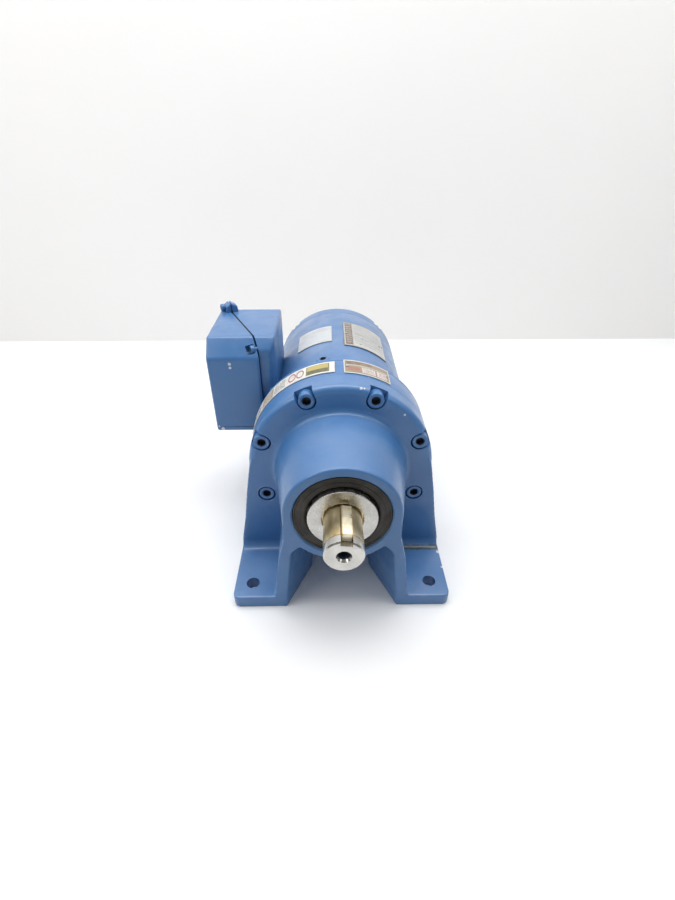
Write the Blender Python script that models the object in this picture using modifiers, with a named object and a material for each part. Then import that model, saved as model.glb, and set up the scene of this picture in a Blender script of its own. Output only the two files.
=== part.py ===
"""A foot-mounted inline gearmotor: a one-stage cycloidal reducer with a totally enclosed motor behind it.

Run with: blender --background --python part.py
Metres, +Z up. The output shaft points along -Y, the motor lies along +Y, and the foot rests on Z = 0.
Every part is placed in model coordinates (shaft axis at X = 0, foot front at Y = 0) and is parented to
one empty, which moves the assembly so that the origin is the bottom centre of its bounding box.
"""

import math

import bmesh
import bpy
from mathutils import Vector

# Driving dimensions
AXIS_Z = 0.100
GAP = 0.0003
FOOT_HALF = 0.090
FOOT_LENGTH = 0.120
FOOT_THICK = 0.012
FOOT_HOLE_X = 0.075
FOOT_HOLE_R = 0.0055
FOOT_HOLE_YS = (0.015, 0.105)
GUSSET_X = 0.059
GUSSET_THICK = 0.008
SHAFT_TIP_Y = -0.0373
SHAFT_R = 0.014
FRAME_R = 0.0755
FLANGE_FRONT_Y = 0.0585
WALL_REAR_Y = 0.0705
RING_FRONT_Y = 0.078
RING_REAR_Y = 0.1045
MOTOR_R = 0.065
MOTOR_FRONT_Y = 0.1083
SHIELD_FRONT_Y = 0.252
MOTOR_REAR_Y = 0.272
BOX_LEFT_X = -0.113
BOX_FRONT_Y = 0.120
BOX_REAR_Y = 0.204
BOX_LOW_Z = 0.0985
BOX_TOP_Z = 0.185

# Gearing: the pins are one more than the lobes, so the output turns once for LOBES turns of the input
LOBES = 11
RING_PINS = LOBES + 1
RING_PIN_R = 0.004
RING_PITCH_R = 0.054
ECCENTRICITY = 0.0025
LOBE_GAP = 0.00025
DRIVE_PINS = 8
DRIVE_PIN_R = 0.0055
DRIVE_PITCH_R = 0.034
RING_PIN_ANGLES = [360 * k / RING_PINS for k in range(RING_PINS)]
DRIVE_PIN_ANGLES = [360 * k / DRIVE_PINS for k in range(DRIVE_PINS)]
DISC_YS = ((0.0805, 0.0895), (0.0925, 0.1015))

# Fasteners
CASING_BOLT_ANGLES = [22.5 + 45 * k for k in range(8)]
CASING_BOLT_PITCH_R = 0.0680
CASING_BOLT_SIZE = 0.008
POCKET_R = 0.0075
POCKET_FLOOR_Y = 0.0671
MOTOR_BOLT_ANGLES = [37 + 90 * k for k in range(4)]
MOTOR_BOLT_PITCH_R = 0.0705
SHIELD_SCREW_ANGLES = [45 + 90 * k for k in range(4)]
SHIELD_SCREW_PITCH_R = 0.0615
PLUG_ANGLE = -12
PLUG_Y = 0.127
KEY_ANGLE = 8.0

ROUND_STEPS = 36
TURNED_STEPS = 28
SMALL_STEPS = 20
PIN_SIDES = 10
SCREW_SIDES = 10

# Parts with so many coplanar cuts that the exact solver leaves open edges
MANY_CUTS = ("casing", "ring_gear_housing", "terminal_box_cover", "terminal_box_base")

BLUE = (0.075, 0.235, 0.500)
STEEL = (0.60, 0.60, 0.58)
DARK_STEEL = (0.30, 0.30, 0.31)
RUBBER = (0.03, 0.03, 0.03)
COPPER = (0.65, 0.28, 0.12)
LABEL = (0.75, 0.76, 0.74)
BAKELITE = (0.05, 0.035, 0.03)

parts = None
cutters = None
base = None


def start():
    """Clears the scene and makes the two collections and the empty that carries the assembly."""
    global parts, cutters, base
    for obj in list(bpy.data.objects):
        bpy.data.objects.remove(obj)
    parts = bpy.data.collections.new("inline_gear_reducer")
    cutters = bpy.data.collections.new("cutters")
    bpy.context.scene.collection.children.link(parts)
    bpy.context.scene.collection.children.link(cutters)
    base = bpy.data.objects.new("assembly_origin", None)
    base.location = (-(BOX_LEFT_X + FOOT_HALF) / 2, -(SHAFT_TIP_Y + MOTOR_REAR_Y) / 2, 0)
    parts.objects.link(base)


def add_object(name, data):
    obj = bpy.data.objects.new(name, data)
    parts.objects.link(obj)
    obj.parent = base
    return obj


def paint(obj, colour, roughness=0.45, metallic=0.0):
    """Gives the object its own Principled material."""
    material = bpy.data.materials.new(obj.name)
    material.use_nodes = True
    shader = material.node_tree.nodes["Principled BSDF"]
    shader.inputs["Base Color"].default_value = (*colour, 1)
    shader.inputs["Roughness"].default_value = roughness
    shader.inputs["Metallic"].default_value = metallic
    obj.data.materials.clear()
    obj.data.materials.append(material)
    return obj


def painted(obj):
    return paint(obj, BLUE, 0.38)


def steel(obj):
    return paint(obj, STEEL, 0.30, 1.0)


def dark_steel(obj):
    return paint(obj, DARK_STEEL, 0.40, 1.0)


def on_circle(radius, degrees):
    """X and Z of a point round the shaft axis; the angle runs from the top towards +X."""
    turn = math.radians(degrees)
    return radius * math.sin(turn), AXIS_Z + radius * math.cos(turn)


def arc(centre_r, centre_y, radius, first, last, points=5):
    """Profile points (r, y) on an arc, from one angle to another in degrees."""
    turns = [math.radians(first + (last - first) * k / (points - 1)) for k in range(points)]
    return [(centre_r + radius * math.cos(t), centre_y + radius * math.sin(t)) for t in turns]


def turned(name, profile, steps=ROUND_STEPS, centre=(0, AXIS_Z)):
    """A body of revolution about a line along Y. Its profile (r, y) runs from the rear down the outside."""
    solid_core = profile[0][0] == 0
    mesh = bpy.data.meshes.new(name)
    edges = [(k, k + 1) for k in range(len(profile) - 1)]
    if not solid_core:
        edges.append((len(profile) - 1, 0))
    mesh.from_pydata([(r, y, 0) for r, y in profile], edges, [])
    obj = add_object(name, mesh)
    obj.location = (centre[0], 0, centre[1])
    screw = obj.modifiers.new("turn", "SCREW")
    screw.axis = "Y"
    screw.steps = steps
    screw.render_steps = steps
    screw.use_merge_vertices = True
    screw.merge_threshold = 0.00001
    return obj


def ring(name, outer, inner, front, rear, steps=ROUND_STEPS, centre=(0, AXIS_Z)):
    profile = [(outer, rear), (outer, front), (inner, front), (inner, rear)]
    return turned(name, profile, steps, centre)


def rod(name, radius, start_point, end_point, sides=PIN_SIDES):
    """A cylinder between two points in model coordinates."""
    first = Vector(start_point)
    along = Vector(end_point) - first
    mesh = bpy.data.meshes.new(name)
    shape = bmesh.new()
    bmesh.ops.create_cone(
        shape,
        cap_ends=True,
        segments=sides,
        radius1=radius,
        radius2=radius,
        depth=along.length,
    )
    shape.to_mesh(mesh)
    shape.free()
    obj = add_object(name, mesh)
    obj.location = first + along / 2
    obj.rotation_euler = along.to_track_quat("Z", "Y").to_euler()
    return obj


def rods_y(name, radius, centres, front, rear, sides=PIN_SIDES):
    """Cylinders along Y in one mesh, round each (x, z) centre."""
    mesh = bpy.data.meshes.new(name)
    shape = bmesh.new()
    for x, z in centres:
        made = bmesh.ops.create_cone(
            shape,
            cap_ends=True,
            segments=sides,
            radius1=radius,
            radius2=radius,
            depth=1,
        )
        for vertex in made["verts"]:
            across, up, along = vertex.co
            vertex.co = (x + across, front if along > 0 else rear, z + up)
    shape.to_mesh(mesh)
    shape.free()
    return add_object(name, mesh)


def rod_y(name, radius, x, z, front, rear, sides=PIN_SIDES):
    return rods_y(name, radius, [(x, z)], front, rear, sides)


def circle_of(radius, angles):
    return [on_circle(radius, angle) for angle in angles]


def block(name, low, high):
    """A box from its lowest to its highest corner."""
    low = Vector(low)
    high = Vector(high)
    mesh = bpy.data.meshes.new(name)
    shape = bmesh.new()
    bmesh.ops.create_cube(shape, size=1)
    bmesh.ops.scale(shape, vec=high - low, verts=shape.verts)
    shape.to_mesh(mesh)
    shape.free()
    obj = add_object(name, mesh)
    obj.location = (low + high) / 2
    return obj


def slab(name, outline, low, high, along="Y"):
    """A flat outline extruded from low to high along an axis."""
    curve = bpy.data.curves.new(name, "CURVE")
    curve.dimensions = "2D"
    curve.fill_mode = "BOTH"
    curve.extrude = (high - low) / 2
    spline = curve.splines.new("POLY")
    spline.points.add(len(outline) - 1)
    for point, (a, b) in zip(spline.points, outline):
        point.co = (a, b, 0, 1)
    spline.use_cyclic_u = True
    drawn = add_object(name + "_outline", curve)
    bpy.context.view_layer.update()
    mesh = bpy.data.meshes.new_from_object(drawn.evaluated_get(bpy.context.evaluated_depsgraph_get()))
    bpy.data.objects.remove(drawn)
    shape = bmesh.new()
    shape.from_mesh(mesh)
    bmesh.ops.remove_doubles(shape, verts=shape.verts, dist=0.00001)
    bmesh.ops.dissolve_limit(shape, angle_limit=0.001, verts=shape.verts, edges=shape.edges)
    for vertex in shape.verts:
        a, b, raised = vertex.co
        if along == "X":
            vertex.co = (high if raised > 0 else low, a, b)
        elif along == "Y":
            vertex.co = (a, low if raised > 0 else high, b)
        else:
            vertex.co = (a, b, high if raised > 0 else low)
    shape.to_mesh(mesh)
    shape.free()
    return add_object(name, mesh)


def boolean(target, operand, operation):
    """Cuts, joins or intersects the target with the operand, which leaves the assembly."""
    parts.objects.unlink(operand)
    cutters.objects.link(operand)
    operand.hide_render = True
    operand.display_type = "WIRE"
    step = target.modifiers.new(operand.name, "BOOLEAN")
    step.operation = operation
    step.solver = "MANIFOLD" if target.name in MANY_CUTS else "EXACT"
    step.object = operand


def cut(target, *operands):
    for operand in operands:
        boolean(target, operand, "DIFFERENCE")


def join(target, *operands):
    for operand in operands:
        boolean(target, operand, "UNION")


def mirrored(points):
    """The outline given for +X, closed by its mirror image."""
    return points + [(-x, z) for x, z in reversed(points)]


def nose_profile():
    """The cast nose: a flared cone, a cove up to the flange face, and the flange rim with its fillet."""
    return (
        [(0, RING_FRONT_Y), (FRAME_R, RING_FRONT_Y)]
        + arc(FRAME_R - 0.0025, FLANGE_FRONT_Y + 0.0025, 0.0025, 0, -90, 3)
        + arc(0.0583, FLANGE_FRONT_Y - 0.005, 0.005, 90, 170, 4)
        + [(0.0445, 0.0008), (0.0440, 0), (0, 0)]
    )


def casing_bore_profile():
    """Everything the turning tool takes out of the casing, from the rear opening to the seal bore."""
    return [
        (0, RING_FRONT_Y + 0.001),
        (0.0500, RING_FRONT_Y + 0.001),
        (0.0500, 0.0615),
        (0.0403, 0.0615),
        (0.0403, 0.0417),
        (0.0320, 0.0417),
        (0.0320, 0.0293),
        (0.0363, 0.0293),
        (0.0366, 0.0112),
        (0.0366, 0.0010),
        (0.0380, -0.0005),
        (0, -0.0005),
    ]


def taper_rear(obj, rear, share):
    """Narrows the rear end of a slab drawn along Y."""
    for vertex in obj.data.vertices:
        if abs(vertex.co.y - rear) < 0.0001:
            vertex.co.x *= share


def build_casing():
    """Front casing: nose, flange, tombstone wall, two splayed legs and two foot pads, in one casting."""
    wall_side = [
        (FOOT_HALF, 0),
        (FOOT_HALF, FOOT_THICK),
        (0.0890, 0.022),
        (0.0840, 0.048),
        (0.0800, 0.075),
        (0.0745, 0.104),
    ]
    casing = slab("casing", mirrored(wall_side), FLANGE_FRONT_Y, WALL_REAR_Y)
    leg_side = [(0.0545, 0), (0.0535, 0.023), (0.0495, 0.056), (0.0443, 0.078), (0.0440, 0.100)]
    join(casing, slab("legs", mirrored(leg_side), 0, FLANGE_FRONT_Y + 0.001))
    for side in (-1, 1):
        pad = [
            (side * 0.044, 0),
            (side * (FOOT_HALF - 0.0045), 0),
            (side * FOOT_HALF, 0.0045),
            (side * FOOT_HALF, FOOT_LENGTH - 0.0045),
            (side * (FOOT_HALF - 0.0045), FOOT_LENGTH),
            (side * 0.044, FOOT_LENGTH),
        ]
        join(casing, slab(f"foot_pad_{side}", pad, 0, FOOT_THICK, "Z"))
        gusset = [(WALL_REAR_Y - 0.001, 0.011), (0.112, 0.011), (WALL_REAR_Y - 0.001, 0.058)]
        middle = side * GUSSET_X
        half = GUSSET_THICK / 2
        join(casing, slab(f"rear_gusset_{side}", gusset, middle - half, middle + half, "X"))
    arch_side = [(0.0466, -0.001), (0.0456, 0.013), (0.0400, 0.063), (0.0350, 0.068)]
    arch_front = slab("arch_front", mirrored(arch_side), -0.001, 0.045)
    taper_rear(arch_front, 0.045, 0.55)
    cut(casing, arch_front)
    cut(casing, block("arch_rear", (-0.0256, 0.044, -0.001), (0.0256, WALL_REAR_Y + 0.001, 0.070)))
    join(casing, turned("nose", nose_profile()))
    cut(casing, turned("casing_bore", casing_bore_profile()))
    bolts = circle_of(CASING_BOLT_PITCH_R, CASING_BOLT_ANGLES)
    low_bolts = [(x, z) for x, z in bolts if z < 0.050]
    high_bolts = [(x, z) for x, z in bolts if z >= 0.050]
    cut(casing, rods_y("pockets", POCKET_R, high_bolts, 0.0400, POCKET_FLOOR_Y, 16))
    cut(casing, rods_y("low_pockets", POCKET_R, low_bolts, 0.0300, POCKET_FLOOR_Y, 16))
    cut(casing, rods_y("clear_holes", 0.0045, bolts, 0.060, 0.080, SCREW_SIDES))
    for angle in CASING_BOLT_ANGLES:
        x, z = on_circle(CASING_BOLT_PITCH_R, angle)
        if z > AXIS_Z:
            out_x, out_z = on_circle(0.020, angle)
            mouth = block(
                f"pocket_mouth_{angle}",
                (-POCKET_R, 0.0400, 0),
                (POCKET_R, POCKET_FLOOR_Y, 0.020),
            )
            mouth.rotation_euler = (0, math.radians(angle), 0)
            mouth.location = (x + out_x / 2, (0.0400 + POCKET_FLOOR_Y) / 2, z + (out_z - AXIS_Z) / 2)
            cut(casing, mouth)
    for side in (-1, 1):
        for y in FOOT_HOLE_YS:
            x = side * FOOT_HOLE_X
            hole = rod(f"foot_hole_{side}_{y}", FOOT_HOLE_R, (x, y, -0.001), (x, y, 0.014), 12)
            cut(casing, hole)
    painted(casing)


def cap_screw(name, x, z, head_front, head_height, shank_end, size, socket_from_front=True):
    """A socket head cap screw along Y; its head is at the front when socket_from_front is True."""
    direction = 1 if socket_from_front else -1
    head = rod(name, size * 0.80, (x, head_front, z), (x, head_front + direction * head_height, z), 14)
    shank_start = head_front + direction * head_height * 0.9
    join(head, rod(name + "_shank", size / 2, (x, shank_start, z), (x, shank_end, z), 8))
    depth = direction * head_height * 0.55
    recess_start = head_front - direction * 0.001
    cut(head, rod(name + "_hex", size * 0.46, (x, recess_start, z), (x, head_front + depth, z), 6))
    return painted(head)


def build_casing_bolts():
    for number, angle in enumerate(CASING_BOLT_ANGLES, 1):
        x, z = on_circle(CASING_BOLT_PITCH_R, angle)
        head_front = POCKET_FLOOR_Y - GAP - CASING_BOLT_SIZE
        cap_screw(f"casing_bolt_{number}", x, z, head_front, CASING_BOLT_SIZE, 0.092, CASING_BOLT_SIZE)


def build_ring_housing():
    housing = ring("ring_gear_housing", FRAME_R, 0.0553, RING_FRONT_Y + GAP, RING_REAR_Y)
    pins = circle_of(RING_PITCH_R, RING_PIN_ANGLES)
    cut(housing, rods_y("pin_grooves", RING_PIN_R + GAP, pins, 0.077, 0.106))
    casing_bolts = circle_of(CASING_BOLT_PITCH_R, CASING_BOLT_ANGLES)
    cut(housing, rods_y("tapped_holes", 0.0045, casing_bolts, 0.077, 0.093, SCREW_SIDES))
    motor_bolts = circle_of(MOTOR_BOLT_PITCH_R, MOTOR_BOLT_ANGLES)
    cut(housing, rods_y("motor_tapped_holes", 0.0029, motor_bolts, 0.0935, 0.106, SCREW_SIDES))
    painted(housing)


def build_ring_pins():
    """The ring gear's pins, held together by a thin retaining ring at each end."""
    pins = ring("ring_gear_pins", 0.0550, 0.0530, 0.0788, 0.0798, TURNED_STEPS)
    join(pins, ring("rear_pin_retainer", 0.0550, 0.0530, 0.1030, 0.1040, TURNED_STEPS))
    join(pins, rods_y("ring_pins", RING_PIN_R, circle_of(RING_PITCH_R, RING_PIN_ANGLES), 0.0792, 0.1036))
    steel(pins)


def lobe_outline(points_per_lobe=10):
    """The cycloidal disc's outline about its own centre, for a pin circle centred one eccentricity away."""
    roller = RING_PIN_R + LOBE_GAP
    ratio = RING_PITCH_R / (ECCENTRICITY * RING_PINS)
    outline = []
    count = points_per_lobe * LOBES
    for k in range(count):
        phi = 2 * math.pi * k / count
        swing = (1 - RING_PINS) * phi
        psi = math.atan2(math.sin(swing), ratio - math.cos(swing))
        x = RING_PITCH_R * math.cos(phi) - roller * math.cos(phi + psi)
        y = RING_PITCH_R * math.sin(phi) - roller * math.sin(phi + psi)
        x -= ECCENTRICITY * math.cos(RING_PINS * phi)
        y -= ECCENTRICITY * math.sin(RING_PINS * phi)
        outline.append((x, y))
    return outline


def cam_centre_x(number):
    """X of an eccentric's own axis: the second is half a turn from the first."""
    return ECCENTRICITY if number == 1 else -ECCENTRICITY


def build_disc(number):
    """One cycloidal disc. The second is the first turned half a revolution about the shaft axis."""
    front, rear = DISC_YS[number - 1]
    centre_x = cam_centre_x(number)
    side = 1 if number == 1 else -1
    outline = [(side * x, side * z) for x, z in lobe_outline()]
    disc = slab(f"cycloid_disc_{number}", outline, front, rear)
    disc.location = (centre_x, 0, AXIS_Z)
    hole_r = DRIVE_PIN_R + ECCENTRICITY + 2 * LOBE_GAP
    holes = [(centre_x + x, z) for x, z in circle_of(DRIVE_PITCH_R, DRIVE_PIN_ANGLES)]
    cut(disc, rods_y(f"drive_holes_{number}", hole_r, holes, front - 0.001, rear + 0.001, 16))
    bore = rod_y(f"disc_bore_{number}", 0.0200, centre_x, AXIS_Z, front - 0.001, rear + 0.001, SMALL_STEPS)
    cut(disc, bore)
    steel(disc)


def build_cam_bearing(number):
    """Cage and rollers that run between one eccentric and its disc."""
    front, rear = DISC_YS[number - 1]
    centre_x = cam_centre_x(number)
    middle = (front + rear) / 2
    name = f"cam_roller_bearing_{number}"
    bearing = ring(name, 0.0172, 0.0148, middle - 0.0030, middle + 0.0030, SMALL_STEPS, (centre_x, AXIS_Z))
    rollers = [(centre_x + x, z) for x, z in circle_of(0.0160, [45 * k for k in range(8)])]
    join(bearing, rods_y(f"cam_rollers_{number}", 0.0034, rollers, front + GAP, rear - GAP, 10))
    steel(bearing)


def build_cam():
    """The double eccentric on the motor shaft, its two halves half a turn apart."""
    core = [(0, 0.1015), (0.0090, 0.1015), (0.0090, 0.0805), (0, 0.0805)]
    cam = turned("eccentric_cam", core, SMALL_STEPS)
    for number, (front, rear) in enumerate(DISC_YS, 1):
        centre_x = cam_centre_x(number)
        join(cam, rod_y(f"eccentric_{number}", 0.0120, centre_x, AXIS_Z, front, rear, SMALL_STEPS))
    cut(cam, rod_y("cam_bore", 0.0078, 0, AXIS_Z, 0.079, 0.103, SMALL_STEPS))
    steel(cam)


def build_output_shaft():
    """Output shaft, its drive flange and the pins that the discs push round, in one piece."""
    profile = [
        (0, 0.0765),
        (0.0460, 0.0765),
        (0.0460, 0.0660),
        (0.0240, 0.0660),
        (0.0240, 0.0613),
        (0.0200, 0.0613),
        (0.0200, 0.0415),
        (0.0175, 0.0415),
        (0.0175, 0.0020),
        (SHAFT_R, 0.0020),
        (SHAFT_R, SHAFT_TIP_Y + 0.0010),
        (SHAFT_R - 0.0010, SHAFT_TIP_Y),
        (0, SHAFT_TIP_Y),
    ]
    shaft = turned("output_shaft", profile, TURNED_STEPS)
    pins = circle_of(DRIVE_PITCH_R, DRIVE_PIN_ANGLES)
    join(shaft, rods_y("drive_pins", DRIVE_PIN_R, pins, 0.075, 0.1035))
    slot = block("keyway", (-0.0041, -0.040, 0.0100), (0.0041, -0.0052, 0.020))
    slot.rotation_euler = (0, math.radians(KEY_ANGLE), 0)
    x, z = on_circle(0.015, KEY_ANGLE)
    slot.location = (x, (-0.040 - 0.0052) / 2, z)
    cut(shaft, slot)
    cut(shaft, rod_y("centre_hole", 0.0034, 0, AXIS_Z, SHAFT_TIP_Y - 0.002, -0.018, 16))
    centre_cone = [(0, -0.0340), (0.0030, -0.0340), (0.0058, SHAFT_TIP_Y - 0.0005), (0, SHAFT_TIP_Y - 0.0005)]
    cut(shaft, turned("centre_cone", centre_cone, 16))
    steel(shaft)


def build_output_key():
    key = block("output_key", (-0.0038, -0.0330, 0), (0.0038, -0.0055, 0.0067))
    key.rotation_euler = (0, math.radians(KEY_ANGLE), 0)
    x, z = on_circle(0.0103 + 0.0067 / 2, KEY_ANGLE)
    key.location = (x, (-0.0330 - 0.0055) / 2, z)
    steel(key)


def build_collar():
    """The ground wear sleeve that the oil seal runs on."""
    profile = [
        (0.0258, 0.0113),
        (0.0258, -0.0018),
        (0.0253, -0.0023),
        (0.0153, -0.0023),
        (0.0153, 0.0017),
        (0.0178, 0.0017),
        (0.0178, 0.0113),
    ]
    steel(turned("shaft_collar", profile, TURNED_STEPS))


def build_oil_seal():
    profile = [
        (0.0363, 0.0105),
        (0.0363, 0.0010),
        (0.0345, 0.0014),
        (0.0275, 0.0014),
        (0.0261, 0.0030),
        (0.0261, 0.0050),
        (0.0285, 0.0070),
        (0.0340, 0.0070),
        (0.0340, 0.0105),
    ]
    paint(turned("output_oil_seal", profile, TURNED_STEPS), RUBBER, 0.6)


def ball_bearing(name, front, width, bore_r, outer_r, ball_r, balls=7):
    """A deep groove ball bearing: outer ring, inner ring, and its balls in their cage."""
    rear = front + width
    middle = (front + rear) / 2
    pitch = (bore_r + outer_r) / 2
    lip = ball_r * 0.74
    groove = ball_r * 0.80
    bed = ball_r * 0.40
    deep = ball_r + 0.0009
    outer = [
        (outer_r, rear),
        (outer_r, front),
        (pitch + lip, front),
        (pitch + lip, middle - groove),
        (pitch + deep, middle - bed),
        (pitch + deep, middle + bed),
        (pitch + lip, middle + groove),
        (pitch + lip, rear),
    ]
    inner = [
        (pitch - lip, rear),
        (pitch - lip, middle + groove),
        (pitch - deep, middle + bed),
        (pitch - deep, middle - bed),
        (pitch - lip, middle - groove),
        (pitch - lip, front),
        (bore_r, front),
        (bore_r, rear),
    ]
    steel(turned(name + "_outer_ring", outer, SMALL_STEPS))
    steel(turned(name + "_inner_ring", inner, SMALL_STEPS))
    cage_half = ball_r * 0.35
    cage_front = middle - cage_half
    cage_rear = middle + cage_half
    cage = ring(name + "_balls", pitch + 0.0010, pitch - 0.0010, cage_front, cage_rear, SMALL_STEPS)
    for k in range(balls):
        x, z = on_circle(pitch, 360 * k / balls)
        ball = add_object(f"{name}_ball_{k}", bpy.data.meshes.new(name))
        shape = bmesh.new()
        bmesh.ops.create_icosphere(shape, subdivisions=2, radius=ball_r)
        shape.to_mesh(ball.data)
        shape.free()
        ball.location = (x, middle, z)
        join(cage, ball)
    steel(cage)


def build_spacers():
    steel(ring("bearing_spacer", 0.0225, 0.0178, 0.0293, 0.0415 - GAP, SMALL_STEPS))
    steel(ring("disc_spacer", 0.0275, 0.0240, 0.0899, 0.0921, SMALL_STEPS))


def build_motor_bracket():
    """Motor front bracket: the flange on the ring housing, the front bearing's seat and the seal's bore."""
    profile = [
        (0.0577, 0.1220),
        (0.0577, 0.1080),
        (0.0755, 0.1080),
        (0.0755, RING_REAR_Y + GAP),
        (0.0118, RING_REAR_Y + GAP),
        (0.0118, 0.1100),
        (0.0178, 0.1100),
        (0.0178, 0.1220),
    ]
    bracket = turned("motor_bracket", profile)
    bolts = circle_of(MOTOR_BOLT_PITCH_R, MOTOR_BOLT_ANGLES)
    cut(bracket, rods_y("bracket_holes", 0.0034, bolts, 0.100, 0.112, SCREW_SIDES))
    painted(bracket)
    seal = [
        (0.0115, 0.1094),
        (0.0115, 0.1052),
        (0.0078, 0.1052),
        (0.0078, 0.1062),
        (0.0090, 0.1094),
    ]
    paint(turned("input_oil_seal", seal, SMALL_STEPS), RUBBER, 0.6)


def build_motor_bolts():
    for number, angle in enumerate(MOTOR_BOLT_ANGLES, 1):
        x, z = on_circle(MOTOR_BOLT_PITCH_R, angle)
        cap_screw(f"motor_bolt_{number}", x, z, MOTOR_FRONT_Y + 0.0065, 0.0065, 0.0950, 0.0054, False)


def build_motor_frame():
    frame = ring("motor_frame", MOTOR_R, 0.0580, MOTOR_FRONT_Y, SHIELD_FRONT_Y - GAP)
    screws = circle_of(SHIELD_SCREW_PITCH_R, SHIELD_SCREW_ANGLES)
    cut(frame, rods_y("frame_screw_holes", 0.0024, screws, 0.240, 0.254, SCREW_SIDES))
    x, z = on_circle(0.055, PLUG_ANGLE)
    out_x, out_z = on_circle(0.070, PLUG_ANGLE)
    cut(frame, rod("plug_hole", 0.0045, (x, PLUG_Y, z), (out_x, PLUG_Y, out_z)))
    painted(frame)


def build_grease_plug():
    """A socket head plug that closes the grease port on top of the motor's front end."""
    ends = [on_circle(radius, PLUG_ANGLE) for radius in (0.0600, 0.0653, 0.0683, 0.0690)]
    points = [(x, PLUG_Y, z) for x, z in ends]
    plug = rod("grease_plug", 0.0060, points[1], points[2], 18)
    join(plug, rod("grease_plug_thread", 0.0040, points[0], points[2], 14))
    socket_x, socket_z = on_circle(0.0640, PLUG_ANGLE)
    cut(plug, rod("grease_plug_hex", 0.0030, (socket_x, PLUG_Y, socket_z), points[3], 6))
    painted(plug)


def build_motor_inside():
    """Stator, windings, rotor and the motor shaft that carries the eccentric."""
    slots = 18
    outline = []
    for k in range(slots):
        for share, radius in ((0.08, 0.0360), (0.62, 0.0360), (0.72, 0.0480), (0.98, 0.0480)):
            turn = 2 * math.pi * (k + share) / slots
            outline.append((radius * math.cos(turn), radius * math.sin(turn)))
    core = ring("stator_core", 0.0576, 0.0340, 0.1450, 0.2000)
    slots_cutter = slab("stator_slots", outline, 0.1440, 0.2010)
    slots_cutter.location.z = AXIS_Z
    cut(core, slots_cutter)
    dark_steel(core)
    winding_centres = (("winding_front", 0.1345), ("winding_rear", 0.2105))
    for name, middle in winding_centres:
        loop = arc(0.0460, middle, 0.0085, 90, -225, 8)
        paint(turned(name, loop, SMALL_STEPS), COPPER, 0.4, 0.6)
    rotor = [
        (0.0300, 0.2075),
        (0.0352, 0.2015),
        (0.0352, 0.1435),
        (0.0300, 0.1375),
        (0.0128, 0.1375),
        (0.0128, 0.2075),
    ]
    dark_steel(turned("rotor_core", rotor, SMALL_STEPS))
    shaft = [
        (0, 0.2620),
        (0.0075, 0.2620),
        (0.0075, 0.2495),
        (0.0125, 0.2495),
        (0.0125, 0.1235),
        (0.0085, 0.1235),
        (0.0085, 0.1110),
        (0.0075, 0.1110),
        (0.0075, 0.0785),
        (0, 0.0785),
    ]
    steel(turned("motor_shaft", shaft, SMALL_STEPS))


def shielded_bearing(name, front, width, bore_r, outer_r):
    """A sealed-for-life bearing, seen as its two rings; the shield is part of the outer ring."""
    rear = front + width
    land = bore_r + (outer_r - bore_r) * 0.35
    steel(ring(name + "_outer_ring", outer_r, land + GAP, front, rear, SMALL_STEPS))
    steel(ring(name + "_inner_ring", land - GAP, bore_r, front, rear, SMALL_STEPS))


def build_end_shield():
    profile = (
        [(0, MOTOR_REAR_Y), (0.0530, MOTOR_REAR_Y)]
        + arc(0.0570, MOTOR_REAR_Y - 0.0080, 0.0080, 90, 0, 4)
        + [
            (MOTOR_R, SHIELD_FRONT_Y),
            (0.0577, SHIELD_FRONT_Y),
            (0.0577, 0.2440),
            (0.0520, 0.2440),
            (0.0470, 0.2660),
            (0.0220, 0.2660),
            (0.0200, 0.2500),
            (0.0163, 0.2500),
            (0.0163, 0.2640),
            (0, 0.2640),
        ]
    )
    shield = turned("rear_end_shield", profile)
    notches = circle_of(SHIELD_SCREW_PITCH_R + 0.0015, SHIELD_SCREW_ANGLES)
    cut(shield, rods_y("screw_notches", 0.0062, notches, 0.2590, 0.2740, 16))
    screws = circle_of(SHIELD_SCREW_PITCH_R, SHIELD_SCREW_ANGLES)
    cut(shield, rods_y("shield_holes", 0.0025, screws, 0.2420, 0.2640, SCREW_SIDES))
    painted(shield)
    for number, angle in enumerate(SHIELD_SCREW_ANGLES, 1):
        x, z = on_circle(SHIELD_SCREW_PITCH_R, angle)
        cap_screw(f"shield_screw_{number}", x, z, 0.2590 + GAP + 0.0042, 0.0042, 0.2415, 0.0042, False)


# The terminal box is split on an upright plane from its rear left to its front right corner
SEAM_REAR = Vector((-0.1055, BOX_REAR_Y, 0))
SEAM_FRONT = Vector((-0.0690, 0.1246, 0))
SEAM_NORMAL = Vector((-0.9087, -0.4175, 0))
SEAM_HALF = 0.0008
LUG_SHARE = 0.13
LUG_TOP_Z = 0.1936
CABLE_ENTRY = (-0.0980, 0.1420)
# Each cover screw's share of the way along the seam, its height, and its seat's distance off the seam
COVER_SCREWS = ((0.045, 0.1885, 0.0053), (0.96, 0.1760, 0.0023))


def box_prism(name, plan, low_z, top_z, slope=0.0):
    """A plan outline drawn upwards, with the slope that runs along the box's front top edge taken off."""
    prism = slab(name, plan, low_z, top_z, "Z")
    front = BOX_FRONT_Y + slope
    wedge = [(front - 0.010, 0.1585 - slope), (front + 0.0160, 0.1885 - slope), (front - 0.010, 0.200)]
    cut(prism, slab(name + "_slope", wedge, -0.130, -0.040, "X"))
    return prism


def seam_point(share, offset=0.0, z=0.0):
    """A point on the seam plane, from its rear end (0) to its front end (1), moved along the normal."""
    point = SEAM_REAR.lerp(SEAM_FRONT, share) + SEAM_NORMAL * offset
    return Vector((point.x, point.y, z))


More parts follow.
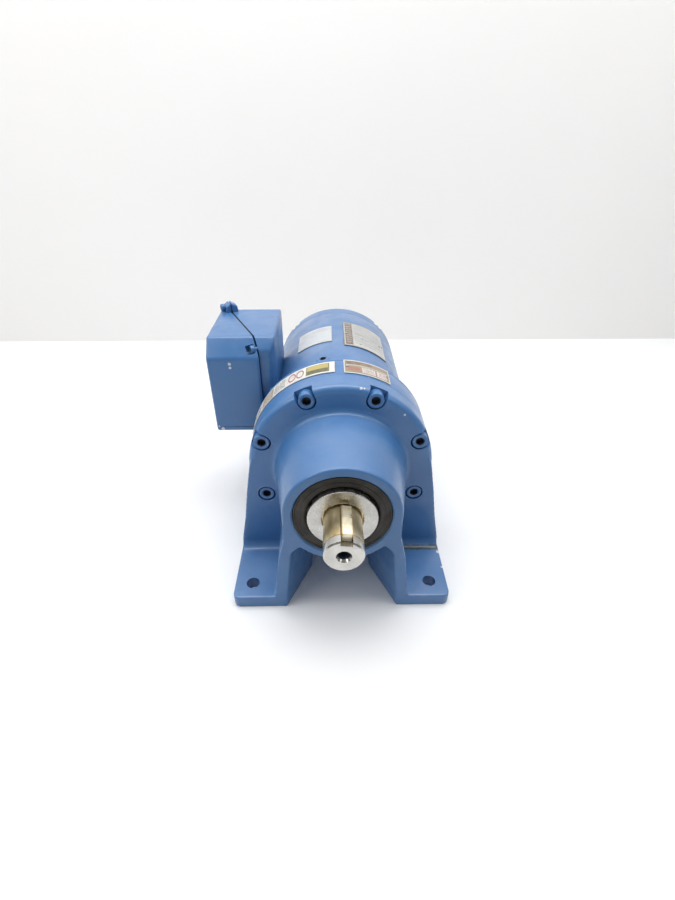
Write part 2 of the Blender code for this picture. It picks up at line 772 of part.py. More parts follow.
def build_terminal_box():
    half = SEAM_HALF
    rear_seam = seam_point(0, half)
    front_seam = seam_point(1, half)
    cover_plan = [
        (BOX_LEFT_X, BOX_FRONT_Y),
        (-0.0696, BOX_FRONT_Y),
        (front_seam.x, front_seam.y),
        (rear_seam.x, rear_seam.y),
        (BOX_LEFT_X, BOX_REAR_Y),
    ]
    cover = box_prism("terminal_box_cover", cover_plan, BOX_LOW_Z, BOX_TOP_Z)
    cavity = [(-0.110, 0.123), (-0.0750, 0.123), (-0.0640, 0.132), (-0.0980, 0.201), (-0.110, 0.201)]
    cut(cover, box_prism("cover_cavity", cavity, BOX_LOW_Z + 0.003, BOX_TOP_Z - 0.003, 0.003))
    entry_x, entry_y = CABLE_ENTRY
    low_end = (entry_x, entry_y, BOX_LOW_Z - 0.001)
    cut(cover, rod("cable_entry", 0.0080, low_end, (entry_x, entry_y, BOX_LOW_Z + 0.005), 16))
    rear_seam = seam_point(0, -half)
    front_seam = seam_point(1, -half)
    base_plan = [
        (front_seam.x, front_seam.y),
        (-0.0590, 0.1246),
        (-0.0550, 0.1300),
        (-0.0550, BOX_REAR_Y),
        (rear_seam.x, rear_seam.y),
    ]
    box_base = box_prism("terminal_box_base", base_plan, BOX_LOW_Z, BOX_TOP_Z)
    cut(box_base, rod_y("motor_saddle", MOTOR_R + GAP, 0, AXIS_Z, 0.115, 0.210, ROUND_STEPS))
    inside = [(-0.0850, 0.138), (-0.0720, 0.144), (-0.0720, 0.201), (-0.1140, 0.201)]
    cut(box_base, slab("base_cavity", inside, BOX_LOW_Z + 0.003, 0.1820, "Z"))
    lug_plan_cover = [
        seam_point(0.0, half).xy[:],
        seam_point(LUG_SHARE, half).xy[:],
        seam_point(LUG_SHARE, 0.0050).xy[:],
        seam_point(0.0, 0.0050).xy[:],
    ]
    lug_plan_base = [
        seam_point(0.0, -half).xy[:],
        seam_point(LUG_SHARE, -half).xy[:],
        seam_point(LUG_SHARE, -0.0060).xy[:],
        seam_point(0.0, -0.0060).xy[:],
    ]
    join(cover, slab("cover_lug", lug_plan_cover, BOX_TOP_Z - 0.005, LUG_TOP_Z, "Z"))
    join(box_base, slab("base_lug", lug_plan_base, BOX_TOP_Z - 0.005, LUG_TOP_Z, "Z"))
    build_gasket(half - GAP)
    for number, (share, z, seat) in enumerate(COVER_SCREWS, 1):
        build_cover_screw(number, share, z, seat, cover, box_base)
    painted(cover)
    painted(box_base)
    block_body = block("terminal_block", (-0.0900, 0.160, 0.120), (-0.0745, 0.192, 0.158))
    for k in range(3):
        z = 0.127 + 0.012 * k
        join(block_body, rod(f"terminal_stud_{k}", 0.002, (-0.0895, 0.176, z), (-0.0945, 0.176, z), 10))
    paint(block_body, BAKELITE, 0.35)


def build_gasket(half):
    """A rubber frame between the terminal box's two halves."""
    outer = (BOX_LOW_Z + 0.0005, BOX_TOP_Z - 0.0005)
    inner = (BOX_LOW_Z + 0.0030, BOX_TOP_Z - 0.0030)
    gasket = slab("terminal_box_gasket", strip_plan(0.02, 0.83, half), *outer, "Z")
    cut(gasket, slab("gasket_window", strip_plan(0.06, 0.79, half * 3), *inner, "Z"))
    paint(gasket, RUBBER, 0.7)


def strip_plan(start_share, end_share, half):
    """The plan of a strip along the seam."""
    return [
        seam_point(start_share, half).xy[:],
        seam_point(end_share, half).xy[:],
        seam_point(end_share, -half).xy[:],
        seam_point(start_share, -half).xy[:],
    ]


def build_cover_screw(number, share, z, seat, cover, box_base):
    """A cap screw square to the seam, its head on a seat off the seam, and the holes and pocket for it."""
    head_out = seam_point(share, seat + 0.0032, z)
    head_in = seam_point(share, seat, z)
    shank_start = seam_point(share, seat + 0.0007, z)
    tip = seam_point(share, -0.0055, z)
    past_tip = seam_point(share, -0.0075, z)
    screw = rod(f"cover_screw_{number}", 0.0034, head_out, head_in, 16)
    join(screw, rod(f"cover_screw_shank_{number}", 0.0018, shank_start, tip, 10))
    hex_mouth = seam_point(share, seat + 0.0042, z)
    hex_floor = seam_point(share, seat + 0.0014, z)
    cut(screw, rod(f"cover_screw_hex_{number}", 0.0018, hex_mouth, hex_floor, 6))
    painted(screw)
    pocket_mouth = seam_point(share, seat + 0.0065, z)
    pocket_floor = seam_point(share, seat - GAP, z)
    cut(cover, rod(f"cover_pocket_{number}", 0.0042, pocket_mouth, pocket_floor, 16))
    cut(cover, rod(f"cover_hole_{number}", 0.0022, head_out, seam_point(share, -0.002, z), 10))
    cut(box_base, rod(f"base_hole_{number}", 0.0022, seam_point(share, 0.002, z), past_tip, 10))


def curved_label(name, radius, front, rear, first, last):
    """A thin plate bent round the shaft axis between two angles."""
    columns = max(4, int(abs(last - first) / 4))
    mesh = bpy.data.meshes.new(name)
    shape = bmesh.new()
    bmesh.ops.create_grid(shape, x_segments=columns, y_segments=1, size=0.5)
    for vertex in shape.verts:
        x, z = on_circle(radius, first + (last - first) * (vertex.co.x + 0.5))
        y = front + (rear - front) * (vertex.co.y + 0.5)
        vertex.co = (x, y, z)
    shape.to_mesh(mesh)
    shape.free()
    obj = add_object(name, mesh)
    sheet = obj.modifiers.new("thickness", "SOLIDIFY")
    sheet.thickness = 0.0006
    sheet.offset = 1
    return paint(obj, LABEL, 0.35, 0.3)


def build_labels():
    curved_label("ring_label_left", FRAME_R + GAP, 0.0820, 0.1010, -75, -3.4)
    curved_label("ring_label_right", FRAME_R + GAP, 0.0805, 0.1040, 2, 31)
    curved_label("motor_label_left", MOTOR_R + GAP, 0.171, 0.210, -36, -5.5)
    curved_label("motor_nameplate", MOTOR_R + GAP, 0.161, 0.221, 4.5, 43)


def build_all():
    start()
    build_casing()
    build_casing_bolts()
    build_ring_housing()
    build_ring_pins()
    build_disc(1)
    build_disc(2)
    build_cam()
    build_cam_bearing(1)
    build_cam_bearing(2)
    build_output_shaft()
    build_output_key()
    build_collar()
    build_oil_seal()
    ball_bearing("front_bearing", 0.0118, 0.0170, 0.0178, 0.0360, 0.0056)
    ball_bearing("rear_bearing", 0.0420, 0.0190, 0.0203, 0.0400, 0.0060)
    build_spacers()
    build_motor_bracket()
    build_motor_bolts()
    build_motor_frame()
    build_grease_plug()
    build_motor_inside()
    shielded_bearing("motor_front_bearing", 0.1112, 0.0110, 0.0088, 0.0175)
    shielded_bearing("motor_rear_bearing", 0.2510, 0.0110, 0.0078, 0.0160)
    build_end_shield()
    build_terminal_box()
    build_labels()


build_all()
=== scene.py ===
"""The looks of a foot-mounted inline gearmotor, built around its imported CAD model.

Pieces are drawn in model coordinates, in metres: the shaft axis is at X = 0, Y = 0 is the front of the
casting and Z = 0 is the floor. PLACE, which is read from the frame, moves that system to where the CAD is.
"""

import math

import bmesh
import bpy
from mathutils import Matrix, Vector


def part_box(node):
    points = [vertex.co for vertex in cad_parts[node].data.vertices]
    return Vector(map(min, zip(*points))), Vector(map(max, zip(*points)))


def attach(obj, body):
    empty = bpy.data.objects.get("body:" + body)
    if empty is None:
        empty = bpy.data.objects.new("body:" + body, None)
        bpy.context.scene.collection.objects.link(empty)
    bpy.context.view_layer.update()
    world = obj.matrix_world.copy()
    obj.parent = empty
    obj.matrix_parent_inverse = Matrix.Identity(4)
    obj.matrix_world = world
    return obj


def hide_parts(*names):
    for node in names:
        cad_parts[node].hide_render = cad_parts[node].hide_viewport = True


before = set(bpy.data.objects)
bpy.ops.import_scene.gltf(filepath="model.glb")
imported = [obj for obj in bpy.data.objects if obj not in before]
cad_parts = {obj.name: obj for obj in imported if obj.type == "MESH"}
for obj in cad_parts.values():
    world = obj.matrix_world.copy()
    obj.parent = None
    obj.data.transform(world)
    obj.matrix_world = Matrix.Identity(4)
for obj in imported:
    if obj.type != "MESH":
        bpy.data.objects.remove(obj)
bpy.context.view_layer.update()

# Measures read from the frame
casing_low, casing_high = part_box("casing")
shaft_low, shaft_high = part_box("output_shaft")
ring_low, ring_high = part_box("ring_gear_housing")
motor_low, motor_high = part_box("motor_frame")
shield_low, shield_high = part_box("rear_end_shield")
cover_low, cover_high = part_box("terminal_box_cover")
PLACE = Vector(((shaft_low.x + shaft_high.x) / 2, casing_low.y, 0))
AXIS_Z = (ring_low.z + ring_high.z) / 2
RIM_R = (ring_high.x - ring_low.x) / 2
MOTOR_R = (motor_high.x - motor_low.x) / 2
FOOT_HALF = (casing_high.x - casing_low.x) / 2
SHAFT_TIP_Y = shaft_low.y - PLACE.y
CASTING_REAR_Y = ring_low.y - PLACE.y - 0.0003
RING_REAR_Y = ring_high.y - PLACE.y
MOTOR_FRONT_Y = motor_low.y - PLACE.y
MOTOR_REAR_Y = motor_high.y - PLACE.y
TAIL_Y = shield_high.y - PLACE.y
BOX_LEFT_X = cover_low.x - PLACE.x
BOX_FRONT_Y = cover_low.y - PLACE.y
BOX_REAR_Y = cover_high.y - PLACE.y
BOX_LOW_Z = cover_low.z

# Sizes of the fine shapes
FLANGE_FRONT_Y = 0.0585
WALL_REAR_Y = 0.0705
FOOT_LENGTH = 0.120
FOOT_THICK = 0.012
FOOT_HOLES = [(side * 0.075, y) for side in (-1, 1) for y in (0.015, 0.105)]
FOOT_HOLE_R = 0.0055
SEAL_SEAT_R = 0.0366
SHAFT_R = 0.014
KEY_ANGLE = 8.0
BOLT_ANGLES = [22.5 + 45 * k for k in range(8)]
BOLT_PITCH_R = 0.0680
POCKET_R = 0.0075
POCKET_FLOOR_Y = 0.0671
CASING_SCREW_Y = 0.0588
BRACKET_SCREW_Y = 0.1148
SHIELD_SCREW_Y = 0.2635
MOTOR_BOLT_ANGLES = [37 + 90 * k for k in range(4)]
MOTOR_BOLT_PITCH_R = 0.0705
SHIELD_SCREW_ANGLES = [45 + 90 * k for k in range(4)]
SHIELD_SCREW_PITCH_R = 0.0615
PLUG_ANGLE = -12
PLUG_Y = 0.127
BOX_TOP_Z = 0.185
BOX_EDGE = 0.0022
BOX_WALL = 0.003
SEAM_REAR = Vector((-0.1055, BOX_REAR_Y, 0))
SEAM_FRONT = Vector((-0.0690, BOX_FRONT_Y + 0.0046, 0))
SEAM_NORMAL = Vector((-0.9087, -0.4175, 0))
SEAM_HALF = 0.0008
# Each cover screw's share of the way along the seam, its height, and its seat's distance off the seam
COVER_SCREWS = ((0.045, 0.1885, 0.0053), (0.96, 0.1760, 0.0023))
CABLE_ENTRY = (-0.0980, 0.1420)
LUG_SHARE = 0.13
LUG_TOP_Z = 0.1936
WALL_DISTANCE = 0.587
CAST_VOXEL = 0.0009
CAST_SMOOTHING = 7

# Head radius, head height, shank radius, shank length and socket radius of each kind of screw
CASING_SCREW = (0.0064, 0.0080, 0.0040, 0.0250, 0.0035)
BRACKET_SCREW = (0.0043, 0.0065, 0.0026, 0.0120, 0.0026)
SHIELD_SCREW = (0.0034, 0.0042, 0.0020, 0.0170, 0.0018)

# Colours, in linear light
BLUE = (0.047, 0.162, 0.385)
DEEP_BLUE = (0.014, 0.052, 0.160)
PALE_BLUE = (0.105, 0.245, 0.460)
GRIME = (0.018, 0.040, 0.036)
GRIME_LINE = (0.0532, 0.0128)
CHIP = (0.560, 0.590, 0.620)
STEEL = (0.560, 0.545, 0.520)
# Near-black of the screw sockets and the shaft's centre hole, partly painted shade
OXIDE_AND_SHADE_BLACK = (0.012, 0.012, 0.013)

materials = {}


# ---------------------------------------------------------------- outlines


def on_circle(radius, degrees):
    """X and Z of a point round the shaft axis; the angle runs from the top towards +X."""
    turn = math.radians(degrees)
    return radius * math.sin(turn), AXIS_Z + radius * math.cos(turn)


def rounded(points, closed, steps=5):
    """Points (a, b) or (a, b, radius) as a plain outline, with an arc at each corner that has a radius."""
    made = []
    count = len(points)
    for k, point in enumerate(points):
        here = Vector(point[:2])
        at_end = not closed and k in (0, count - 1)
        if len(point) == 2 or at_end:
            made.append((here.x, here.y))
            continue
        to_last = Vector(points[k - 1][:2]) - here
        to_next = Vector(points[(k + 1) % count][:2]) - here
        half = to_last.angle(to_next) / 2
        reach = min(point[2] / math.tan(half), 0.49 * to_last.length, 0.49 * to_next.length)
        first = here + to_last.normalized() * reach
        last = here + to_next.normalized() * reach
        middle = (to_last.normalized() + to_next.normalized()).normalized()
        centre = here + middle * (reach / math.cos(half))
        radius = (first - centre).length
        for step in range(steps + 1):
            spoke = (first - centre).lerp(last - centre, step / steps).normalized() * radius
            made.append((centre.x + spoke.x, centre.y + spoke.y))
    return made


def mirrored(points):
    """The outline given for +X, closed by its mirror image."""
    return points + [(-point[0], *point[1:]) for point in reversed(points)]


# ---------------------------------------------------------------- solids


def add_mesh(name, shape):
    mesh = bpy.data.meshes.new(name)
    shape.to_mesh(mesh)
    shape.free()
    obj = bpy.data.objects.new(name, mesh)
    bpy.context.scene.collection.objects.link(obj)
    return obj


def lathe(name, profile, steps=128, centre=(0.0, None), arc_steps=5):
    """A body of revolution about a line along Y, from a profile (r, y) or (r, y, corner radius)."""
    outline = rounded(profile, closed=profile[0][0] != 0, steps=arc_steps)
    solid_core = profile[0][0] == 0
    centre_x = centre[0]
    centre_z = AXIS_Z if centre[1] is None else centre[1]
    shape = bmesh.new()
    rings = []
    for radius, y in outline:
        if radius == 0:
            rings.append([shape.verts.new((centre_x, y, centre_z))])
            continue
        turns = [2 * math.pi * k / steps for k in range(steps)]
        spots = [(centre_x + radius * math.sin(t), y, centre_z + radius * math.cos(t)) for t in turns]
        rings.append([shape.verts.new(spot) for spot in spots])
    pairs = list(zip(rings, rings[1:]))
    if not solid_core:
        pairs.append((rings[-1], rings[0]))
    for first, second in pairs:
        for k in range(steps):
            after = (k + 1) % steps
            corners = [first[k % len(first)], first[after % len(first)]]
            corners += [second[after % len(second)], second[k % len(second)]]
            shape.faces.new(list(dict.fromkeys(corners)))
    bmesh.ops.recalc_face_normals(shape, faces=shape.faces)
    return add_mesh(name, shape)


def prism(name, outline, low, high, along="Y"):
    """A flat outline, with rounded corners where it says so, drawn out from low to high along an axis."""
    shape = bmesh.new()
    flat = rounded(outline, closed=True)
    places = {
        "X": lambda a, b, level: (level, a, b),
        "Y": lambda a, b, level: (a, level, b),
        "Z": lambda a, b, level: (a, b, level),
    }
    place = places[along]
    face = shape.faces.new([shape.verts.new(place(a, b, low)) for a, b in flat])
    drawn = bmesh.ops.extrude_face_region(shape, geom=[face])
    for item in drawn["geom"]:
        if isinstance(item, bmesh.types.BMVert):
            a, b = [value for axis, value in zip("XYZ", item.co) if axis != along]
            item.co = place(a, b, high)
    bmesh.ops.recalc_face_normals(shape, faces=shape.faces)
    return add_mesh(name, shape)


def rod(name, radius, start, end, sides=32):
    """A cylinder between two points."""
    start = Vector(start)
    along = Vector(end) - start
    shape = bmesh.new()
    turn = along.to_track_quat("Z", "Y").to_matrix().to_4x4()
    bmesh.ops.create_cone(
        shape,
        cap_ends=True,
        segments=sides,
        radius1=radius,
        radius2=radius,
        depth=along.length,
        matrix=Matrix.Translation(start + along / 2) @ turn,
    )
    return add_mesh(name, shape)


def rods_y(name, radius, centres, front, rear, sides=32):
    """Separate cylinders along Y in one mesh, round each (x, z) centre."""
    shape = bmesh.new()
    for x, z in centres:
        made = bmesh.ops.create_cone(
            shape, cap_ends=True, segments=sides, radius1=radius, radius2=radius, depth=1
        )
        for vertex in made["verts"]:
            across, up, along = vertex.co
            vertex.co = (x + across, front if along < 0 else rear, z + up)
        bmesh.ops.reverse_faces(shape, faces=list({f for v in made["verts"] for f in v.link_faces}))
    bmesh.ops.recalc_face_normals(shape, faces=shape.faces)
    return add_mesh(name, shape)


def block(name, low, high, turn=0.0):
    """A box, turned about the shaft axis' direction by an angle in degrees round its own origin."""
    low = Vector(low)
    high = Vector(high)
    shape = bmesh.new()
    bmesh.ops.create_cube(shape, size=1)
    bmesh.ops.scale(shape, vec=high - low, verts=shape.verts)
    bmesh.ops.translate(shape, vec=(low + high) / 2, verts=shape.verts)
    matrix = Matrix.Rotation(math.radians(turn), 3, "Y")
    bmesh.ops.rotate(shape, cent=(0, 0, 0), matrix=matrix, verts=shape.verts)
    return add_mesh(name, shape)


def shift(obj, x, z):
    obj.data.transform(Matrix.Translation((x, 0, z)))
    return obj


def settle(obj):
    """Applies an object's modifiers to its mesh."""
    bpy.context.view_layer.update()
    seen = obj.evaluated_get(bpy.context.evaluated_depsgraph_get())
    mesh = bpy.data.meshes.new_from_object(seen)
    obj.modifiers.clear()
    old = obj.data
    obj.data = mesh
    bpy.data.meshes.remove(old)
    return obj


def combine(target, operands, operation):
    for operand in operands:
        step = target.modifiers.new(operand.name, "BOOLEAN")
        step.operation = operation
        step.solver = "MANIFOLD"
        step.object = operand
        settle(target)
        bpy.data.objects.remove(operand)
    return target


def cut(target, *operands):
    return combine(target, operands, "DIFFERENCE")


def join(target, *operands):
    return combine(target, operands, "UNION")


def bevel(obj, width, segments=4, angle=30):
    step = obj.modifiers.new("edges", "BEVEL")
    step.width = width
    step.segments = segments
    step.limit_method = "ANGLE"
    step.angle_limit = math.radians(angle)
    step.use_clamp_overlap = True
    return settle(obj)


def cast(obj, voxel, rounds):
    """Gives a rough union the soft corners of a sand casting."""
    grid = obj.modifiers.new("voxels", "REMESH")
    grid.mode = "VOXEL"
    grid.voxel_size = voxel
    relax = obj.modifiers.new("relax", "SMOOTH")
    relax.factor = 0.5
    relax.iterations = rounds
    return settle(obj)


def smooth(obj, angle=32):
    obj.data.shade_smooth()
    obj.data.set_sharp_from_angle(angle=math.radians(angle))
    return obj


def finish_piece(obj, body, material, replaced=(), angle=32):
    """Places a piece in the frame, gives it its finish and fixes it to its body."""
    smooth(obj, angle)
    obj.data.materials.clear()
    names = [material] if isinstance(material, str) else material
    for name in names:
        obj.data.materials.append(materials[name])
    obj.location = PLACE
    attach(obj, body)
    if replaced:
        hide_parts(*([replaced] if isinstance(replaced, str) else replaced))
    return obj


# ---------------------------------------------------------------- shader kit


class Looks:
    """A material under construction: its node tree, its Principled shader and its object coordinates."""

    def __init__(self, name, roughness, metallic=0.0, on_cad=False):
        self.material = bpy.data.materials.new(name)
        self.material.use_nodes = True
        self.tree = self.material.node_tree
        self.shader = self.tree.nodes["Principled BSDF"]
        self.shader.inputs["Roughness"].default_value = roughness
        self.shader.inputs["Metallic"].default_value = metallic
        self.source = self.tree.nodes.new("ShaderNodeTexCoord")
        self.where = self.source.outputs["Object"]
        if on_cad:
            move = self.tree.nodes.new("ShaderNodeMapping")
            move.inputs["Location"].default_value = -PLACE
            self.link(self.where, move.inputs["Vector"])
            self.where = move.outputs["Vector"]
        materials[name] = self.material

    def link(self, output, socket):
        self.tree.links.new(output, socket)

    def feed(self, socket, value):
        """Puts a link, a number or a colour on a socket."""
        if isinstance(value, bpy.types.NodeSocket):
            self.link(value, socket)
        elif isinstance(value, tuple) and len(value) == 3 and socket.type == "RGBA":
            socket.default_value = (*value, 1)
        else:
            socket.default_value = value

    def noise(self, scale, detail=3.0, roughness=0.5, stretch=None, distortion=0.0):
        node = self.tree.nodes.new("ShaderNodeTexNoise")
        node.inputs["Scale"].default_value = scale
        node.inputs["Detail"].default_value = detail
        node.inputs["Roughness"].default_value = roughness
        node.inputs["Distortion"].default_value = distortion
        self.link(self.stretched(stretch), node.inputs["Vector"])
        return node.outputs["Fac"]

    def stretched(self, stretch):
        if stretch is None:
            return self.where
        move = self.tree.nodes.new("ShaderNodeMapping")
        move.inputs["Scale"].default_value = stretch
        self.link(self.where, move.inputs["Vector"])
        return move.outputs["Vector"]

    def math(self, operation, first, second=0.0, third=0.0):
        node = self.tree.nodes.new("ShaderNodeMath")
        node.operation = operation
        for socket, value in zip(node.inputs, (first, second, third)):
            self.feed(socket, value)
        return node.outputs[0]

    def plus(self, first, second):
        return self.math("ADD", first, second)

    def minus(self, first, second):
        return self.math("SUBTRACT", first, second)

    def times(self, first, second):
        return self.math("MULTIPLY", first, second)

    def step(self, value, low, high, out_low=0.0, out_high=1.0):
        """A smooth step from out_low to out_high as value goes from low to high."""
        node = self.tree.nodes.new("ShaderNodeMapRange")
        node.interpolation_type = "SMOOTHSTEP"
        for name, number in zip(("From Min", "From Max", "To Min", "To Max"), (low, high, out_low, out_high)):
            node.inputs[name].default_value = number
        self.feed(node.inputs["Value"], value)
        return node.outputs["Result"]

    def mix(self, share, first, second, blend="MIX"):
        node = self.tree.nodes.new("ShaderNodeMix")
        node.data_type = "RGBA"
        node.blend_type = blend
        self.feed(node.inputs[0], share)
        self.feed(node.inputs[6], first)
        self.feed(node.inputs[7], second)
        return node.outputs[2]

    def axes(self, source=None):
        node = self.tree.nodes.new("ShaderNodeSeparateXYZ")
        self.link(source or self.where, node.inputs[0])
        return node.outputs[0], node.outputs[1], node.outputs[2]

    def radius(self, centre_x=0.0, centre_z=None):
        """Distance from a line along Y."""
        x, _, z = self.axes()
        across = self.minus(x, centre_x)
        up = self.minus(z, AXIS_Z if centre_z is None else centre_z)
        square = self.plus(self.times(across, across), self.times(up, up))
        return self.math("SQRT", square)

    def near(self, spot, reach, ragged=0.0, grain=700.0):
        """1 inside a ragged blob round a spot, 0 outside."""
        node = self.tree.nodes.new("ShaderNodeVectorMath")
        node.operation = "DISTANCE"
        self.link(self.where, node.inputs[0])
        node.inputs[1].default_value = spot
        distance = node.outputs["Value"]
        if ragged:
            wobble = self.minus(self.noise(grain, 2.0), 0.5)
            distance = self.plus(distance, self.times(wobble, ragged))
        return self.step(distance, reach * 0.85, reach * 1.15, 1.0, 0.0)

    def bump(self, height, strength, distance):
        node = self.tree.nodes.new("ShaderNodeBump")
        node.inputs["Strength"].default_value = strength
        node.inputs["Distance"].default_value = distance
        self.link(height, node.inputs["Height"])
        last = self.shader.inputs["Normal"].links
        if last:
            self.link(last[0].from_socket, node.inputs["Normal"])
        self.link(node.outputs["Normal"], self.shader.inputs["Normal"])

    def colour(self, value):
        self.feed(self.shader.inputs["Base Color"], value)

    def rough(self, value):
        self.feed(self.shader.inputs["Roughness"], value)

    def edge_wear(self, low=0.54, high=0.62):
        """1 on worn outer corners, from the mesh's own pointedness."""
        geometry = self.tree.nodes.new("ShaderNodeNewGeometry")
        pointed = self.step(geometry.outputs["Pointiness"], low, high)
        return self.times(pointed, self.step(self.noise(300, 3.0), 0.60, 0.68))


# ---------------------------------------------------------------- finishes


def enamel(name, chips=(), peel=0.5, top_paleness=0.16, on_cad=False, wear=0.0):
    """Air-dried blue machine enamel with orange peel, faint runs of tone, chips at given spots, paler patches on
    upward faces and painted shade in its hollows.
    """
    looks = Looks(name, 0.36, on_cad=on_cad)
    tone = looks.noise(9, 3.0)
    colour = looks.mix(looks.step(tone, 0.30, 0.72), BLUE, tuple(value * 0.86 for value in BLUE))
    colour = looks.mix(looks.step(looks.noise(46, 5.0, 0.65), 0.52, 0.80, 0.0, 0.30), colour, PALE_BLUE)
    specks = looks.step(looks.noise(900, 2.0), 0.69, 0.74, 0.0, 0.45)
    colour = looks.mix(specks, colour, DEEP_BLUE)
    # Painted shade: concave hollows, found from the mesh's pointiness, are darkened towards deep blue.
    geometry = looks.tree.nodes.new("ShaderNodeNewGeometry")
    hollow_painted_shade = looks.step(geometry.outputs["Pointiness"], 0.38, 0.47, 0.75, 0.0)
    colour = looks.mix(hollow_painted_shade, colour, DEEP_BLUE)
    # Upward faces are mixed towards a pale grey-blue in broad patches, up to the share given.
    _, _, up = looks.axes(geometry.outputs["Normal"])
    top_paleness_share = looks.times(looks.step(up, 0.35, 1.0, 0.0, top_paleness), looks.step(looks.noise(26, 4.0), 0.2, 0.8))
    colour = looks.mix(top_paleness_share, colour, (0.40, 0.47, 0.60))
    bare = None
    for spot, reach in chips:
        mask = looks.near(spot, reach, reach * 1.3, 900)
        bare = mask if bare is None else looks.math("MAXIMUM", bare, mask)
    if wear:
        worn = looks.times(looks.edge_wear(), wear)
        bare = worn if bare is None else looks.math("MAXIMUM", bare, worn)
    if bare is not None:
        colour = looks.mix(bare, colour, CHIP)
    looks.colour(colour)
    looks.rough(looks.step(looks.noise(60, 4.0, 0.6), 0.25, 0.80, 0.28, 0.50))
    looks.shader.inputs["Coat Weight"].default_value = 0.35
    looks.shader.inputs["Coat Roughness"].default_value = 0.22
    looks.bump(looks.noise(520, 2.0), peel, 0.00010)
    looks.bump(looks.noise(95, 3.0), peel, 0.00022)
    if bare is not None:
        looks.bump(looks.minus(1.0, bare), 0.6, 0.00012)
    return looks


def casting_enamel():
    """Enamel over sand-cast iron: deeper texture, chips round the bolts and grime in the foot's corner."""
    looks = enamel(
        "casting_enamel",
        chips=(
            ((0.0148, 0.0600, 0.1735), 0.0014),
            ((0.0172, 0.0605, 0.1730), 0.0009),
            ((0.0485, 0.0585, 0.1510), 0.0009),
            ((0.0895, 0.0300, 0.0118), 0.0013),
            ((-0.0450, 0.0050, 0.0105), 0.0010),
            ((0.0890, 0.0480, 0.0120), 0.0016),
        ),
        peel=0.55,
        wear=0.55,
    )
    looks.bump(looks.noise(210, 4.0, 0.6), 0.35, 0.00035)
    x, y, z = looks.axes()
    back = looks.minus(y, GRIME_LINE[0])
    up = looks.minus(z, GRIME_LINE[1])
    square = looks.plus(looks.times(back, back), looks.times(up, up))
    wobble = looks.times(looks.minus(looks.noise(260, 3.0), 0.5), 0.0034)
    line = looks.step(looks.plus(looks.math("SQRT", square), wobble), 0.0016, 0.0034, 0.9, 0.0)
    on_right = looks.step(x, 0.0560, 0.0590)
    clean = looks.shader.inputs["Base Color"].links[0].from_socket
    looks.colour(looks.mix(looks.times(line, on_right), clean, GRIME))


def box_enamel():
    enamel(
        "box_enamel",
        chips=(
            ((-0.0935, 0.1200, 0.1655), 0.0013),
            ((-0.0933, 0.1200, 0.1620), 0.0012),
            ((-0.1075, 0.1200, 0.1010), 0.0016),
            ((-0.1105, 0.1200, 0.1035), 0.0010),
        ),
        peel=0.35,
        top_paleness=0.12,
    )


def screw_enamel():
    """Thin enamel over black oxide, rubbed through on the head's rim."""
    enamel("screw_enamel", peel=0.3, top_paleness=0.0, wear=0.5)


def socket_oxide_and_painted_shade():
    """The near-black hex sockets: unpainted black oxide, darkened further as painted shade of their depth; the
    same near-black is painted shade in the shaft's centre hole.
    """
    looks = Looks("socket_oxide_and_painted_shade", 0.55)
    looks.colour(looks.mix(looks.step(looks.noise(800, 3.0), 0.35, 0.7), OXIDE_AND_SHADE_BLACK, (0.030, 0.050, 0.090)))
    looks.bump(looks.noise(1500, 2.0), 0.3, 0.0001)


def ground_steel(name, colour=STEEL, roughness=0.26, on_cad=False, rings=True):
    """Steel ground while turning: fine concentric lines, faint stains."""
    looks = Looks(name, roughness, 1.0, on_cad)
    lines = looks.noise(1.0, 2.0, 0.6, stretch=(60, 2600, 60))
    if rings:
        radius = looks.radius()
        node = looks.tree.nodes.new("ShaderNodeTexNoise")
        node.noise_dimensions = "1D"
        node.inputs["Scale"].default_value = 5200
        node.inputs["Detail"].default_value = 2.0
        looks.link(radius, node.inputs["W"])
        lines = looks.times(looks.plus(lines, node.outputs["Fac"]), 0.5)
    stain = looks.step(looks.noise(75, 4.0, 0.6), 0.42, 0.78)
    dull = tuple(value * 0.72 for value in colour)
    looks.colour(looks.mix(stain, looks.mix(looks.step(lines, 0.35, 0.65), colour, dull), dull))
    looks.rough(looks.step(looks.noise(180, 4.0, 0.6), 0.3, 0.75, roughness * 0.8, roughness * 1.6))
    looks.shader.inputs["Anisotropic"].default_value = 0.4
    looks.bump(lines, 0.35, 0.00003)
    return looks


def filmed_shaft():
    """Ground shaft under a dried amber rust preventive, which is wiped off its last few millimetres."""
    looks = ground_steel("filmed_shaft", (0.66, 0.645, 0.61), 0.24)
    base = looks.shader.inputs["Base Color"].links[0].from_socket
    _, y, _ = looks.axes()
    ragged = looks.times(looks.minus(looks.noise(230, 3.0), 0.5), 0.0045)
    along = looks.plus(y, ragged)
    covered = looks.step(along, -0.0313, -0.0302)
    thick = looks.step(looks.noise(60, 4.0, 0.62, stretch=(1.0, 0.45, 1.0)), 0.34, 0.74)
    film = looks.mix(thick, (0.87, 0.76, 0.50), (0.60, 0.43, 0.18))
    brown_edge = looks.times(covered, looks.step(along, -0.0288, -0.0304))
    film = looks.mix(looks.times(brown_edge, 0.75), film, (0.20, 0.125, 0.045))
    streak = looks.step(looks.noise(420, 3.0, 0.6, stretch=(1.0, 0.12, 1.0)), 0.60, 0.72, 0.0, 0.35)
    film = looks.mix(streak, film, (0.93, 0.88, 0.72))
    looks.colour(looks.mix(covered, base, film))
    looks.rough(looks.step(covered, 0.0, 1.0, 0.22, 0.33))
    looks.shader.inputs["Coat Weight"].default_value = 0.25
    looks.shader.inputs["Coat Roughness"].default_value = 0.25
    looks.bump(looks.noise(300, 3.0), 0.15, 0.0001)


